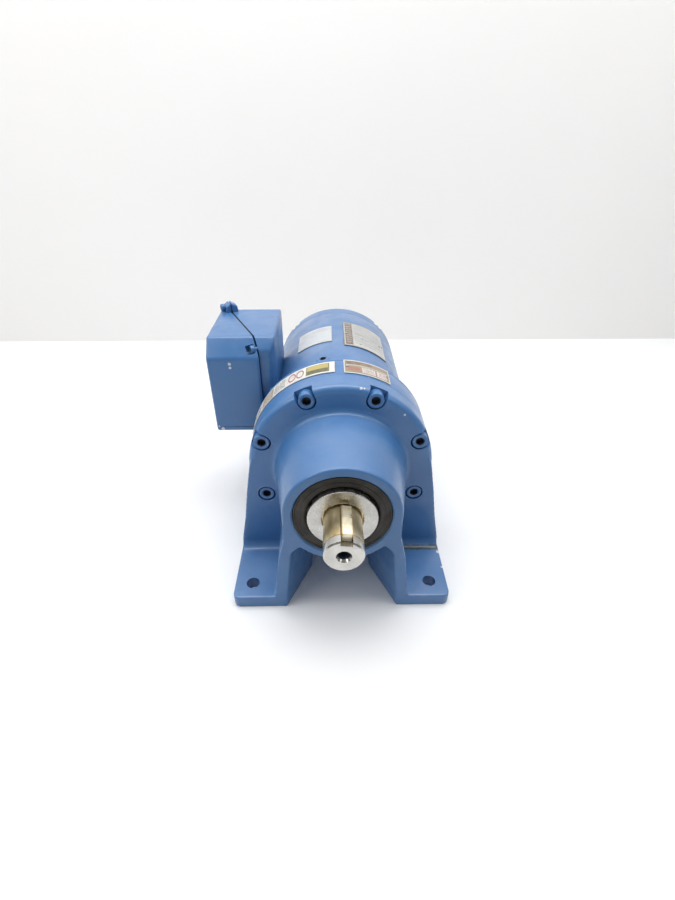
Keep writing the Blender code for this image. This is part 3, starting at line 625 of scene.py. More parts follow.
def filmed_key():
    """The key: cream film on top, and brown painted along its sides as painted shade."""
    looks = Looks("filmed_key", 0.34, 0.75)
    x, y, z = looks.axes()
    turn = math.radians(KEY_ANGLE)
    across = looks.minus(
        looks.times(x, math.cos(turn)),
        looks.times(looks.minus(z, AXIS_Z), math.sin(turn)),
    )
    # Painted shade: the strips along the key's sides are mixed towards brown.
    side = looks.step(looks.math("ABSOLUTE", across), 0.0026, 0.0037)
    patch = looks.step(looks.noise(160, 4.0, 0.6), 0.40, 0.72)
    cream = looks.mix(patch, (0.88, 0.80, 0.60), (0.74, 0.60, 0.34))
    side_shade_brown = looks.mix(patch, (0.42, 0.26, 0.08), (0.25, 0.15, 0.05))
    looks.colour(looks.mix(looks.times(side, 0.7), cream, side_shade_brown))
    looks.rough(looks.step(looks.noise(240, 3.0), 0.3, 0.7, 0.26, 0.44))
    looks.bump(looks.noise(700, 2.0), 0.2, 0.00006)


def seal_rubber():
    """Matt nitrile rubber, brownish with old grease, with fine moulding rings."""
    looks = Looks("seal_rubber", 0.58)
    wave = looks.tree.nodes.new("ShaderNodeTexNoise")
    wave.noise_dimensions = "1D"
    wave.inputs["Scale"].default_value = 900
    looks.link(looks.radius(), wave.inputs["W"])
    grease = looks.step(looks.noise(90, 4.0, 0.6), 0.38, 0.72)
    looks.colour(looks.mix(grease, (0.013, 0.011, 0.009), (0.030, 0.023, 0.014)))
    looks.rough(looks.step(looks.noise(70, 3.0), 0.3, 0.7, 0.42, 0.70))
    looks.bump(wave.outputs["Fac"], 0.45, 0.0002)
    looks.bump(looks.noise(1600, 2.0), 0.2, 0.00006)


def label_marks(name, ground, marks, border=None, roughness=0.34, metallic=0.35):
    """A printed plate. marks are (u0, v0, u1, v1, colour, kind) in the plate's own 0 to 1 coordinates."""
    looks = Looks(name, roughness, metallic)
    u, v, _ = looks.axes(looks.source.outputs["UV"])

    def inside(low_u, low_v, high_u, high_v):
        mask = None
        for value, low, high in ((u, low_u, high_u), (v, low_v, high_v)):
            past_low = looks.math("GREATER_THAN", value, low)
            edge = looks.times(past_low, looks.math("LESS_THAN", value, high))
            mask = edge if mask is None else looks.times(mask, edge)
        return mask

    faded = tuple(value * 0.84 for value in ground)
    colour = looks.mix(looks.step(looks.noise(70, 4.0, 0.6), 0.35, 0.7), ground, faded)
    for low_u, low_v, high_u, high_v, tint, kind in marks:
        mask = inside(low_u, low_v, high_u, high_v)
        if kind == "rows":
            rows = looks.times(looks.minus(v, low_v), 9.0 / (high_v - low_v))
            line = looks.math("GREATER_THAN", looks.math("FRACT", rows), 0.45)
            dash = looks.step(looks.noise(2300, 1.0, 0.5, stretch=(1.0, 0.25, 1.0)), 0.44, 0.50)
            mask = looks.times(mask, looks.times(line, dash))
        elif kind == "ring":
            centre_u = (low_u + high_u) / 2
            centre_v = (low_v + high_v) / 2
            far_u = looks.math("DIVIDE", looks.minus(u, centre_u), (high_u - low_u) / 2)
            far_v = looks.math("DIVIDE", looks.minus(v, centre_v), (high_v - low_v) / 2)
            far = looks.plus(looks.times(far_u, far_u), looks.times(far_v, far_v))
            beyond = looks.math("GREATER_THAN", far, 0.55)
            hoop = looks.times(beyond, looks.math("LESS_THAN", far, 1.0))
            mask = looks.times(mask, hoop)
        colour = looks.mix(mask, colour, tint)
    if border:
        width_u, width_v, tint = border
        rim = looks.minus(1.0, inside(width_u, width_v, 1 - width_u, 1 - width_v))
        colour = looks.mix(rim, colour, tint)
    scuffs = looks.step(looks.noise(500, 3.0), 0.66, 0.74, 0.0, 0.5)
    looks.colour(looks.mix(scuffs, colour, (0.24, 0.22, 0.18)))
    looks.rough(looks.step(looks.noise(110, 3.0), 0.3, 0.7, roughness * 0.8, roughness * 1.4))
    looks.bump(looks.noise(160, 2.0), 0.2, 0.00008)


def label_finishes():
    ink = (0.030, 0.030, 0.034)
    red = (0.42, 0.050, 0.035)
    tan = (0.33, 0.20, 0.105)
    silver = (0.62, 0.62, 0.60)
    label_marks(
        "ring_label_right",
        (0.36, 0.28, 0.20),
        (
            (0.05, 0.60, 0.93, 0.64, silver, "block"),
            (0.06, 0.70, 0.60, 0.90, ink, "rows"),
            (0.08, 0.20, 0.34, 0.48, red, "rows"),
            (0.38, 0.14, 0.66, 0.54, silver, "block"),
            (0.40, 0.18, 0.64, 0.50, tan, "rows"),
            (0.70, 0.14, 0.92, 0.54, silver, "block"),
            (0.74, 0.20, 0.90, 0.48, red, "rows"),
        ),
        border=(0.022, 0.055, (0.66, 0.66, 0.64)),
    )
    label_marks(
        "ring_label_left",
        (0.74, 0.73, 0.69),
        (
            (0.755, 0.10, 0.955, 0.90, (0.17, 0.16, 0.070), "block"),
            (0.765, 0.48, 0.945, 0.86, (0.46, 0.37, 0.12), "block"),
            (0.775, 0.16, 0.935, 0.42, ink, "rows"),
            (0.585, 0.18, 0.660, 0.86, red, "ring"),
            (0.665, 0.18, 0.735, 0.86, (0.25, 0.08, 0.06), "ring"),
            (0.43, 0.14, 0.55, 0.86, (0.10, 0.085, 0.07), "rows"),
            (0.26, 0.10, 0.41, 0.90, (0.40, 0.30, 0.19), "block"),
            (0.28, 0.16, 0.39, 0.84, (0.72, 0.70, 0.64), "rows"),
            (0.04, 0.14, 0.22, 0.86, ink, "rows"),
        ),
        metallic=0.1,
    )
    label_marks(
        "motor_label_left",
        (0.55, 0.56, 0.56),
        (
            (0.06, 0.70, 0.90, 0.90, (0.36, 0.42, 0.50), "rows"),
            (0.06, 0.12, 0.94, 0.62, (0.44, 0.50, 0.57), "rows"),
        ),
        metallic=0.1,
        roughness=0.42,
    )
    label_marks(
        "motor_nameplate",
        (0.58, 0.585, 0.575),
        (
            (0.04, 0.05, 0.20, 0.95, (0.20, 0.165, 0.14), "block"),
            (0.06, 0.08, 0.18, 0.92, (0.48, 0.42, 0.36), "rows"),
            (0.25, 0.10, 0.94, 0.90, (0.42, 0.42, 0.41), "rows"),
            (0.25, 0.52, 0.94, 0.55, (0.34, 0.34, 0.34), "block"),
        ),
        border=(0.016, 0.025, (0.30, 0.27, 0.24)),
        metallic=0.55,
    )


def inner_finishes():
    """Finishes of the pieces inside, which show when the assembly is taken apart."""
    ground_steel("gear_steel", (0.36, 0.36, 0.365), 0.30, on_cad=True)
    ground_steel("bearing_steel", (0.62, 0.62, 0.625), 0.14, on_cad=True)
    ground_steel("spacer_steel", (0.50, 0.49, 0.47), 0.30, on_cad=True)
    laminated = Looks("laminations", 0.42, 0.8, on_cad=True)
    _, y, _ = laminated.axes()
    sheets = laminated.math("FRACT", laminated.times(y, 1 / 0.0005))
    edge = laminated.step(sheets, 0.70, 0.90)
    laminated.colour(laminated.mix(edge, (0.155, 0.155, 0.16), (0.035, 0.032, 0.03)))
    laminated.rough(laminated.step(laminated.noise(120, 3.0), 0.3, 0.7, 0.34, 0.56))
    laminated.bump(edge, 0.5, 0.00008)
    wound = Looks("windings", 0.30, 0.75, on_cad=True)
    strands = wound.noise(1.0, 2.0, 0.6, stretch=(420, 1500, 420), distortion=0.6)
    wound.colour(wound.mix(wound.step(strands, 0.38, 0.62), (0.50, 0.17, 0.055), (0.16, 0.048, 0.018)))
    wound.rough(wound.step(wound.noise(90, 3.0), 0.3, 0.7, 0.22, 0.42))
    wound.bump(strands, 0.8, 0.0004)
    moulded = Looks("phenolic", 0.40, on_cad=True)
    flow = moulded.step(moulded.noise(420, 4.0), 0.4, 0.7)
    moulded.colour(moulded.mix(flow, (0.035, 0.026, 0.022), (0.06, 0.042, 0.034)))
    moulded.rough(moulded.step(moulded.noise(150, 3.0), 0.3, 0.7, 0.34, 0.5))
    moulded.bump(moulded.noise(900, 2.0), 0.3, 0.00008)
    rubber = Looks("gasket_rubber", 0.66, on_cad=True)
    bloom = rubber.step(rubber.noise(300, 3.0), 0.35, 0.7)
    rubber.colour(rubber.mix(bloom, (0.016, 0.016, 0.017), (0.034, 0.033, 0.032)))
    rubber.rough(rubber.step(rubber.noise(150, 3.0), 0.3, 0.7, 0.55, 0.78))
    rubber.bump(rubber.noise(1200, 2.0), 0.4, 0.0001)


def make_finishes():
    casting_enamel()
    enamel("machine_enamel", chips=(((0.0225, 0.0800, 0.1733), 0.0012),), peel=0.35, wear=0.35)
    enamel("motor_enamel", peel=0.45, top_paleness=0.22, wear=0.30)
    box_enamel()
    screw_enamel()
    socket_oxide_and_painted_shade()
    ground_steel("collar_steel", (0.60, 0.59, 0.565), 0.25)
    ground_steel("bare_chamfer", (0.50, 0.47, 0.42), 0.34)
    filmed_shaft()
    filmed_key()
    seal_rubber()
    label_finishes()
    inner_finishes()


# ---------------------------------------------------------------- casting


def nose_profile():
    """The cast nose: a flared cone, a cove up to the flange face, and the flange rim with its fillet."""
    return [
        (0, CASTING_REAR_Y + 0.003), (RIM_R, CASTING_REAR_Y + 0.003),
        (RIM_R, FLANGE_FRONT_Y, 0.0050), (0.0537, FLANGE_FRONT_Y, 0.0045), (0.0440, 0, 0.0012),
        (0, 0),
    ]


def rough_casting():
    """The casting before machining, as a union of its plain volumes."""
    wall_side = [
        (FOOT_HALF, 0), (FOOT_HALF, FOOT_THICK), (0.0890, 0.022), (0.0840, 0.048), (0.0800, 0.075),
        (0.0748, 0.104), (0.0720, 0.110),
    ]
    body = prism("casing_body", mirrored(wall_side), FLANGE_FRONT_Y, WALL_REAR_Y)
    leg_side = [(0.0545, 0), (0.0535, 0.023), (0.0495, 0.056), (0.0443, 0.078), (0.0440, 0.100)]
    join(body, prism("legs", mirrored(leg_side), 0, FLANGE_FRONT_Y + 0.004))
    for side in (-1, 1):
        corner = 0.0045
        pad = [
            (side * 0.044, 0),
            (side * FOOT_HALF, 0, corner),
            (side * FOOT_HALF, FOOT_LENGTH, corner),
            (side * 0.044, FOOT_LENGTH),
        ]
        join(body, prism(f"pad_{side}", pad, 0, FOOT_THICK, "Z"))
        gusset = [(WALL_REAR_Y - 0.001, 0.010), (0.112, 0.010), (WALL_REAR_Y - 0.001, 0.058)]
        middle = side * 0.059
        join(body, prism(f"gusset_{side}", gusset, middle - 0.004, middle + 0.004, "X"))
        root = 0.0075
        corner = (FLANGE_FRONT_Y - root, FOOT_THICK + root)
        turns = [math.radians(-90 + 15 * k) for k in range(7)]
        fillet = [(corner[0] + root * math.cos(t), corner[1] + root * math.sin(t)) for t in turns]
        fillet += [(FLANGE_FRONT_Y + 0.002, FOOT_THICK + root), (FLANGE_FRONT_Y + 0.002, FOOT_THICK - 0.002)]
        fillet += [(FLANGE_FRONT_Y - root, FOOT_THICK - 0.002)]
        low_x, high_x = sorted((side * 0.050, side * (FOOT_HALF - 0.0008)))
        join(body, prism(f"root_{side}", fillet, low_x, high_x, "X"))
    join(body, lathe("nose", nose_profile(), 160))
    arch_side = [(0.0466, -0.010), (0.0456, 0.013), (0.0400, 0.063, 0.006), (0.0330, 0.070)]
    arch = prism("arch_front", mirrored(arch_side), -0.001, 0.045)
    for vertex in arch.data.vertices:
        if vertex.co.y > 0.040:
            vertex.co.x *= 0.55
    nose_core = lathe("nose_core", nose_profile(), 160)
    cut(arch, nose_core)
    cut(body, arch)
    rear_arch = block("arch_rear", (-0.0256, 0.044, -0.010), (0.0256, WALL_REAR_Y + 0.001, 0.070))
    cut(rear_arch, lathe("nose_core_rear", nose_profile(), 160))
    cut(body, rear_arch)
    return body


def machine_casting(body):
    """Crisp cuts that come after the casting is painted or machined: bore, pockets, holes and rear face."""
    seat = [
        (0, CASTING_REAR_Y + 0.0045), (0.0500, CASTING_REAR_Y + 0.0045), (0.0500, 0.0615),
        (0.0403, 0.0615), (0.0403, 0.0417), (0.0320, 0.0417), (0.0320, 0.0293), (0.0366, 0.0293),
        (SEAL_SEAT_R, 0.0012), (0.0378, -0.0001), (0.0378, -0.0020), (0, -0.0020),
    ]
    cut(body, lathe("seat", seat, 128))
    cut(body, rods_y("rear_plane", RIM_R + 0.0012, [(0, AXIS_Z)], CASTING_REAR_Y, 0.1130, 160))
    for angle in BOLT_ANGLES:
        x, z = on_circle(BOLT_PITCH_R, angle)
        start_y = 0.0400 if z > 0.050 else 0.0300
        cut(body, rods_y(f"pocket_{angle}", POCKET_R, [(x, z)], start_y, POCKET_FLOOR_Y, 40))
        cut(body, rods_y(f"clearance_{angle}", 0.0045, [(x, z)], 0.060, 0.081, 24))
        if z > AXIS_Z:
            mouth = block(f"mouth_{angle}", (-POCKET_R, 0.040, 0), (POCKET_R, POCKET_FLOOR_Y, 0.020), angle)
            cut(body, shift(mouth, x, z))
    for x, y in FOOT_HOLES:
        cut(body, rod(f"foot_hole_{x}_{y}", FOOT_HOLE_R, (x, y, -0.001), (x, y, 0.016), 40))
    return body


def build_casting():
    body = cast(rough_casting(), CAST_VOXEL, CAST_SMOOTHING)
    machine_casting(body)
    finish_piece(body, "housing", "casting_enamel", "casing", 40)
    chamfer = [(0.0384, 0.00055), (0.0381, 0.00018), (0.0367, 0.0011), (0.0369, 0.0016)]
    rim = lathe("seal_seat_rim", chamfer, 128)
    finish_piece(rim, "housing", "bare_chamfer", ())


# ---------------------------------------------------------------- fasteners


def cap_screw(name, head_r, head_height, shank_r, shank_length, hex_r):
    """A socket head cap screw drawn with its head's top at Y = 0, pointing along -Y."""
    profile = [
        (0, head_height + shank_length),
        (shank_r, head_height + shank_length, 0.0004),
        (shank_r, head_height),
        (head_r, head_height, 0.0002),
        (head_r, 0, 0.0007),
        (hex_r * 1.20, 0),
        (hex_r * 1.05, 0.0003), (0, 0.0003),
    ]
    screw = lathe(name, profile, 48, (0, 0), 3)
    cut(screw, rods_y(name + "_hex", hex_r, [(0, 0)], -0.001, head_height * 0.62, 6))
    # Socket faces take the second finish: black oxide darkened further as painted shade.
    for face in screw.data.polygons:
        middle = face.center
        in_socket = math.hypot(middle.x, middle.z) < hex_r * 1.02 and middle.y < head_height * 0.7
        face.material_index = 1 if in_socket and middle.y > 0.0001 else 0
    return screw


def place_screw(screw, spot, outward, node):
    """Puts a screw's head at a spot, with its head towards outward, in place of a CAD screw."""
    marks = [face.material_index for face in screw.data.polygons]
    turn = (-Vector(outward)).to_track_quat("Y", "Z").to_matrix().to_4x4()
    screw.data.transform(Matrix.Translation(spot) @ turn)
    finish_piece(screw, "housing", ["screw_enamel", "socket_oxide_and_painted_shade"], node)
    for face, mark in zip(screw.data.polygons, marks):
        face.material_index = mark


def build_fasteners():
    for number, angle in enumerate(BOLT_ANGLES, 1):
        x, z = on_circle(BOLT_PITCH_R, angle)
        screw = cap_screw(f"casing_screw_{number}", *CASING_SCREW)
        place_screw(screw, Vector((x, CASING_SCREW_Y, z)), (0, -1, 0), f"casing_bolt_{number}")
    for number, angle in enumerate(MOTOR_BOLT_ANGLES, 1):
        x, z = on_circle(MOTOR_BOLT_PITCH_R, angle)
        screw = cap_screw(f"bracket_screw_{number}", *BRACKET_SCREW)
        place_screw(screw, Vector((x, BRACKET_SCREW_Y, z)), (0, 1, 0), f"motor_bolt_{number}")
    for number, angle in enumerate(SHIELD_SCREW_ANGLES, 1):
        x, z = on_circle(SHIELD_SCREW_PITCH_R, angle)
        screw = cap_screw(f"tail_screw_{number}", *SHIELD_SCREW)
        place_screw(screw, Vector((x, SHIELD_SCREW_Y, z)), (0, 1, 0), f"shield_screw_{number}")
    for number, (share, z, seat) in enumerate(COVER_SCREWS, 1):
        screw = cap_screw(f"box_screw_{number}", 0.0034, 0.0032, 0.0018, seat + 0.0052, 0.0018)
        place_screw(screw, seam_point(share, seat + 0.0032, z), SEAM_NORMAL, f"cover_screw_{number}")


# ---------------------------------------------------------------- output end


def build_output_end():
    profile = [
        (0, 0.0765), (0.0460, 0.0765, 0.0008), (0.0460, 0.0660, 0.0008), (0.0240, 0.0660),
        (0.0240, 0.0613), (0.0200, 0.0613), (0.0200, 0.0415), (0.0175, 0.0415), (0.0175, 0.0020),
        (SHAFT_R, 0.0020), (SHAFT_R, SHAFT_TIP_Y + 0.0011, 0.0003),
        (SHAFT_R - 0.0011, SHAFT_TIP_Y, 0.0003), (0, SHAFT_TIP_Y),
    ]
    shaft = lathe("keyed_shaft", profile, 112)
    pins = [on_circle(0.034, 45 * k) for k in range(8)]
    join(shaft, rods_y("drive_pins", 0.0055, pins, 0.0750, 0.1035, 40))
    keyway = block("keyway", (-0.0041, -0.0430, 0.0100), (0.0041, -0.0052, 0.0200), KEY_ANGLE)
    cut(shaft, shift(keyway, 0, AXIS_Z))
    cut(shaft, rods_y("centre_hole", 0.0034, [(0, AXIS_Z)], SHAFT_TIP_Y - 0.002, -0.018, 40))
    mouth = [(0, -0.0335), (0.0032, -0.0335), (0.0040, -0.0355)]
    mouth += [(0.0054, SHAFT_TIP_Y), (0.0056, -0.0385), (0, -0.0385)]
    cut(shaft, lathe("centre_mouth", mouth, 64))
    # The centre hole's faces take the near-black second finish, as painted shade of the hole.
    for face in shaft.data.polygons:
        middle = face.center
        far = math.hypot(middle.x, middle.z - AXIS_Z)
        in_hole = far < 0.0037 and middle.y > SHAFT_TIP_Y + 0.0008 and middle.y < 0
        face.material_index = 1 if in_hole else 0
    marks = [face.material_index for face in shaft.data.polygons]
    finish_piece(shaft, "output", ["filmed_shaft", "socket_oxide_and_painted_shade"], "output_shaft")
    for face, mark in zip(shaft.data.polygons, marks):
        face.material_index = mark
    key = block("shaft_key", (-0.0038, -0.0330, 0.0103), (0.0038, -0.0055, 0.0170), KEY_ANGLE)
    bevel(key, 0.0004, 3)
    finish_piece(shift(key, 0, AXIS_Z), "output", "filmed_key", "output_key")
    sleeve = [
        (0.0258, 0.0113, 0.0003), (0.0258, -0.0023, 0.0006), (0.0153, -0.0023, 0.0005),
        (0.0153, 0.0017), (0.0178, 0.0017), (0.0178, 0.0113),
    ]
    finish_piece(lathe("wear_sleeve", sleeve, 128), "output", "collar_steel", "shaft_collar")
    seal = [
        (0.0363, 0.0105), (0.0363, 0.0010, 0.0004), (0.0352, 0.0010, 0.0003),
        (0.0345, 0.0017, 0.0003), (0.0318, 0.0017, 0.0003), (0.0312, 0.0012, 0.0003),
        (0.0282, 0.0012, 0.0003), (0.0275, 0.0016, 0.0004), (0.0261, 0.0032), (0.0261, 0.0050),
        (0.0285, 0.0070), (0.0340, 0.0070), (0.0340, 0.0105),
    ]
    finish_piece(lathe("lip_seal", seal, 128), "housing", "seal_rubber", "output_oil_seal")


# ---------------------------------------------------------------- housings


def build_ring_housing():
    front = CASTING_REAR_Y + 0.0003
    profile = [
        (RIM_R, RING_REAR_Y, 0.0006),
        (RIM_R, front, 0.0006),
        (0.0553, front), (0.0553, RING_REAR_Y),
    ]
    housing = lathe("ring_housing", profile, 160)
    for k in range(12):
        x, z = on_circle(0.054, 30 * k)
        cut(housing, rods_y(f"groove_{k}", 0.0043, [(x, z)], 0.077, 0.106, 24))
    for angle in BOLT_ANGLES:
        x, z = on_circle(BOLT_PITCH_R, angle)
        cut(housing, rods_y(f"tapped_{angle}", 0.0045, [(x, z)], 0.077, 0.093, 24))
    for angle in MOTOR_BOLT_ANGLES:
        x, z = on_circle(MOTOR_BOLT_PITCH_R, angle)
        cut(housing, rods_y(f"rear_tapped_{angle}", 0.0029, [(x, z)], 0.0935, 0.106, 24))
    finish_piece(housing, "housing", "machine_enamel", "ring_gear_housing")
    bracket = lathe(
        "front_bracket",
        [
            (0.0577, 0.1220), (0.0577, 0.1080), (RIM_R, 0.1080, 0.0010),
            (RIM_R, RING_REAR_Y + 0.0003, 0.0006), (0.0118, RING_REAR_Y + 0.0003), (0.0118, 0.1100),
            (0.0178, 0.1100), (0.0178, 0.1220),
        ],
        160,
    )
    for angle in MOTOR_BOLT_ANGLES:
        x, z = on_circle(MOTOR_BOLT_PITCH_R, angle)
        cut(bracket, rods_y(f"bracket_hole_{angle}", 0.0034, [(x, z)], 0.100, 0.112, 24))
    finish_piece(bracket, "housing", "motor_enamel", "motor_bracket")


def build_motor():
    profile = [
        (MOTOR_R, MOTOR_REAR_Y, 0.0005), (MOTOR_R, MOTOR_FRONT_Y, 0.0012), (0.0580, MOTOR_FRONT_Y),
        (0.0580, MOTOR_REAR_Y),
    ]
    shell = lathe("motor_shell", profile, 160)
    inner_x, inner_z = on_circle(0.055, PLUG_ANGLE)
    outer_x, outer_z = on_circle(0.070, PLUG_ANGLE)
    cut(shell, rod("plug_hole", 0.0045, (inner_x, PLUG_Y, inner_z), (outer_x, PLUG_Y, outer_z)))
    for angle in SHIELD_SCREW_ANGLES:
        x, z = on_circle(SHIELD_SCREW_PITCH_R, angle)
        cut(shell, rods_y(f"shell_hole_{angle}", 0.0024, [(x, z)], 0.240, 0.254, 24))
    finish_piece(shell, "housing", "motor_enamel", "motor_frame")
    tail = [
        (0, TAIL_Y - 0.0012), (0.0300, TAIL_Y - 0.0012, 0.0010), (0.0312, TAIL_Y, 0.0010),
        (MOTOR_R, TAIL_Y, 0.0090), (MOTOR_R, MOTOR_REAR_Y + 0.0003, 0.0006),
        (0.0577, MOTOR_REAR_Y + 0.0003), (0.0577, 0.2440), (0.0520, 0.2440), (0.0470, 0.2660),
        (0.0220, 0.2660), (0.0200, 0.2500), (0.0163, 0.2500), (0.0163, 0.2640), (0, 0.2640),
    ]
    shield = lathe("tail_shield", tail, 160)
    for angle in SHIELD_SCREW_ANGLES:
        x, z = on_circle(SHIELD_SCREW_PITCH_R + 0.0015, angle)
        cut(shield, rods_y(f"notch_{angle}", 0.0062, [(x, z)], 0.2590, 0.2740, 40))
        x, z = on_circle(SHIELD_SCREW_PITCH_R, angle)
        cut(shield, rods_y(f"shield_hole_{angle}", 0.0025, [(x, z)], 0.2420, 0.2640, 24))
    finish_piece(shield, "housing", "motor_enamel", "rear_end_shield")
    build_plug()


def build_plug():
    """The grease port's socket plug."""
    profile = [
        (0, 0.0086), (0.0040, 0.0086, 0.0004), (0.0040, 0.0030), (0.0060, 0.0030, 0.0004),
        (0.0060, 0, 0.0008), (0, 0),
    ]
    plug = lathe("port_plug", profile, 56, (0, 0), 3)
    cut(plug, rods_y("plug_hex", 0.0031, [(0, 0)], -0.001, 0.0042, 6))
    # Socket faces take the second finish: black oxide darkened further as painted shade.
    for face in plug.data.polygons:
        middle = face.center
        in_socket = math.hypot(middle.x, middle.z) < 0.0032 and 0.0001 < middle.y < 0.0045
        face.material_index = 1 if in_socket else 0
    top_x, top_z = on_circle(0.0686, PLUG_ANGLE)
    outward = Vector((top_x, 0, top_z - AXIS_Z)).normalized()
    place_screw(plug, Vector((top_x, PLUG_Y, top_z)), outward, "grease_plug")


# ---------------------------------------------------------------- terminal box



def seam_point(share, offset=0.0, z=0.0):
    """A point on the seam plane, from its rear end (0) to its front end (1), moved along the normal."""
    point = SEAM_REAR.lerp(SEAM_FRONT, share) + SEAM_NORMAL * offset
    return Vector((point.x, point.y, z))


def seam_side(name, offset, sign):
    """A large block that holds everything on one side of the seam plane."""
    near_a = seam_point(-1.0, offset)
    near_b = seam_point(2.0, offset)
    far_a = seam_point(-1.0, offset + sign * 0.2)
    far_b = seam_point(2.0, offset + sign * 0.2)
    outline = [point.xy[:] for point in (near_a, near_b, far_b, far_a)]
    return prism(name, outline, 0.05, 0.25, "Z")


def box_body(name, plan, inset=0.0):
    """A box drawn up from its plan, with the slope along its front top edge."""
    body = prism(name, plan, BOX_LOW_Z + inset, BOX_TOP_Z - inset, "Z")
    front = BOX_FRONT_Y + inset
    wedge = [(front - 0.010, 0.1585 - inset), (front + 0.0160, 0.1885 - inset), (front - 0.010, 0.200)]
    return cut(body, prism(name + "_slope", wedge, -0.140, -0.040, "X"))


def lug_plan(near, far):
    """The plan of the ridge between two distances from the seam."""
    corners = ((0.0, near), (LUG_SHARE, near), (LUG_SHARE, far), (0.0, far))
    return [seam_point(share, offset).xy[:] for share, offset in corners]


def lug_half(name, width, sign):
    """One half of the rounded ridge across the seam that the upper cover screw clamps together."""
    half = prism(name, lug_plan(SEAM_HALF * sign * 0.4, width), BOX_TOP_Z + 0.0006, LUG_TOP_Z, "Z")
    outer = [seam_point(share, width).xy for share in (0.0, LUG_SHARE)]
    for vertex in half.data.vertices:
        on_outer_side = min((vertex.co.xy - corner).length for corner in outer) < 0.0001
        if on_outer_side and vertex.co.z > BOX_TOP_Z + 0.002:
            vertex.co.z -= 0.0030
    bevel(half, 0.0014, 4, 20)
    root_plan = lug_plan(SEAM_HALF * sign, width)
    return join(half, prism(name + "_root", root_plan, BOX_TOP_Z - 0.005, BOX_TOP_Z + 0.0030, "Z"))


def build_box_cover():
    plan = [
        (BOX_LEFT_X, BOX_FRONT_Y), (-0.0690, BOX_FRONT_Y), (-0.0600, 0.1300), (-0.0600, BOX_REAR_Y),
        (BOX_LEFT_X, BOX_REAR_Y),
    ]
    cover = bevel(box_body("box_cover", plan), BOX_EDGE, 4, 20)
    lip = 0.0006
    lower = [
        (BOX_LEFT_X + lip, BOX_FRONT_Y + lip),
        (-0.0690, BOX_FRONT_Y + lip), (-0.0600, 0.1300),
        (-0.0600, BOX_REAR_Y - lip),
        (BOX_LEFT_X + lip, BOX_REAR_Y - lip),
    ]
    groove = prism("lip_groove_outer", plan, BOX_LOW_Z + 0.0042, BOX_LOW_Z + 0.0048, "Z")
    cut(groove, prism("lip_groove_inner", lower, BOX_LOW_Z, BOX_LOW_Z + 0.010, "Z"))
    cut(cover, groove)
    cavity = [(-0.110, 0.123), (-0.0750, 0.123), (-0.0640, 0.132), (-0.0980, 0.201), (-0.110, 0.201)]
    cut(cover, box_body("cover_cavity", cavity, BOX_WALL))
    cut(cover, seam_side("cover_seam", SEAM_HALF, -1))
    join(cover, lug_half("cover_lug", 0.0050, 1))
    entry = (*CABLE_ENTRY, BOX_LOW_Z - 0.001)
    cut(cover, rod("cable_entry", 0.0080, entry, (*CABLE_ENTRY, BOX_LOW_Z + 0.005), 48))
    for number, (share, z, seat) in enumerate(COVER_SCREWS, 1):
        pocket_mouth = seam_point(share, seat + 0.0065, z)
        pocket_floor = seam_point(share, seat - 0.0003, z)
        cut(cover, rod(f"cover_pocket_{number}", 0.0042, pocket_mouth, pocket_floor, 40))
        hole_mouth = seam_point(share, 0.0085, z)
        cut(cover, rod(f"cover_hole_{number}", 0.0022, hole_mouth, seam_point(share, -0.002, z)))
    finish_piece(cover, "housing", "box_enamel", "terminal_box_cover")


def build_box_base():
    plan = [
        (-0.0850, BOX_FRONT_Y + 0.0046), (-0.0590, BOX_FRONT_Y + 0.0046), (-0.0550, 0.1300),
        (-0.0550, BOX_REAR_Y), (BOX_LEFT_X + 0.001, BOX_REAR_Y), (BOX_LEFT_X + 0.001, 0.1700),
    ]
    base = bevel(box_body("box_base", plan), BOX_EDGE, 4, 20)
    cut(base, rods_y("motor_saddle", MOTOR_R + 0.0003, [(0, AXIS_Z)], 0.115, 0.210, 160))
    inside = [(-0.0850, 0.138), (-0.0720, 0.144), (-0.0720, 0.201), (-0.1140, 0.201)]
    cut(base, prism("base_cavity", inside, BOX_LOW_Z + BOX_WALL, BOX_TOP_Z - BOX_WALL, "Z"))
    cut(base, seam_side("base_seam", -SEAM_HALF, 1))
    join(base, lug_half("base_lug", -0.0060, -1))
    for number, (share, z, _) in enumerate(COVER_SCREWS, 1):
        inner = seam_point(share, -0.0075, z)
        cut(base, rod(f"base_hole_{number}", 0.0022, seam_point(share, 0.002, z), inner))
    finish_piece(base, "housing", "box_enamel", "terminal_box_base")


# ---------------------------------------------------------------- labels


def curved_plate(name, radius, front, rear, first, last):
    """A thin plate bent round the shaft axis, with its own 0 to 1 coordinates, u round the axis and v along Y."""
    columns = 48
    rows = 8
    shape = bmesh.new()
    plate_uv = shape.loops.layers.uv.new("plate")
    grid = []
    for i in range(columns + 1):
        x, z = on_circle(radius, first + (last - first) * i / columns)
        grid.append([shape.verts.new((x, front + (rear - front) * j / rows, z)) for j in range(rows + 1)])
    for i in range(columns):
        for j in range(rows):
            face = shape.faces.new((grid[i][j], grid[i + 1][j], grid[i + 1][j + 1], grid[i][j + 1]))
            for loop, (a, b) in zip(face.loops, ((i, j), (i + 1, j), (i + 1, j + 1), (i, j + 1))):
                loop[plate_uv].uv = (a / columns, b / rows)
    bmesh.ops.recalc_face_normals(shape, faces=shape.faces)
    plate = add_mesh(name, shape)
    plate.data.update()
    outward = Vector((plate.data.polygons[0].center.x, 0, plate.data.polygons[0].center.z - AXIS_Z))
    thick = plate.modifiers.new("thickness", "SOLIDIFY")
    thick.thickness = 0.0005
    thick.offset = 1 if plate.data.polygons[0].normal.dot(outward) > 0 else -1
    return settle(plate)


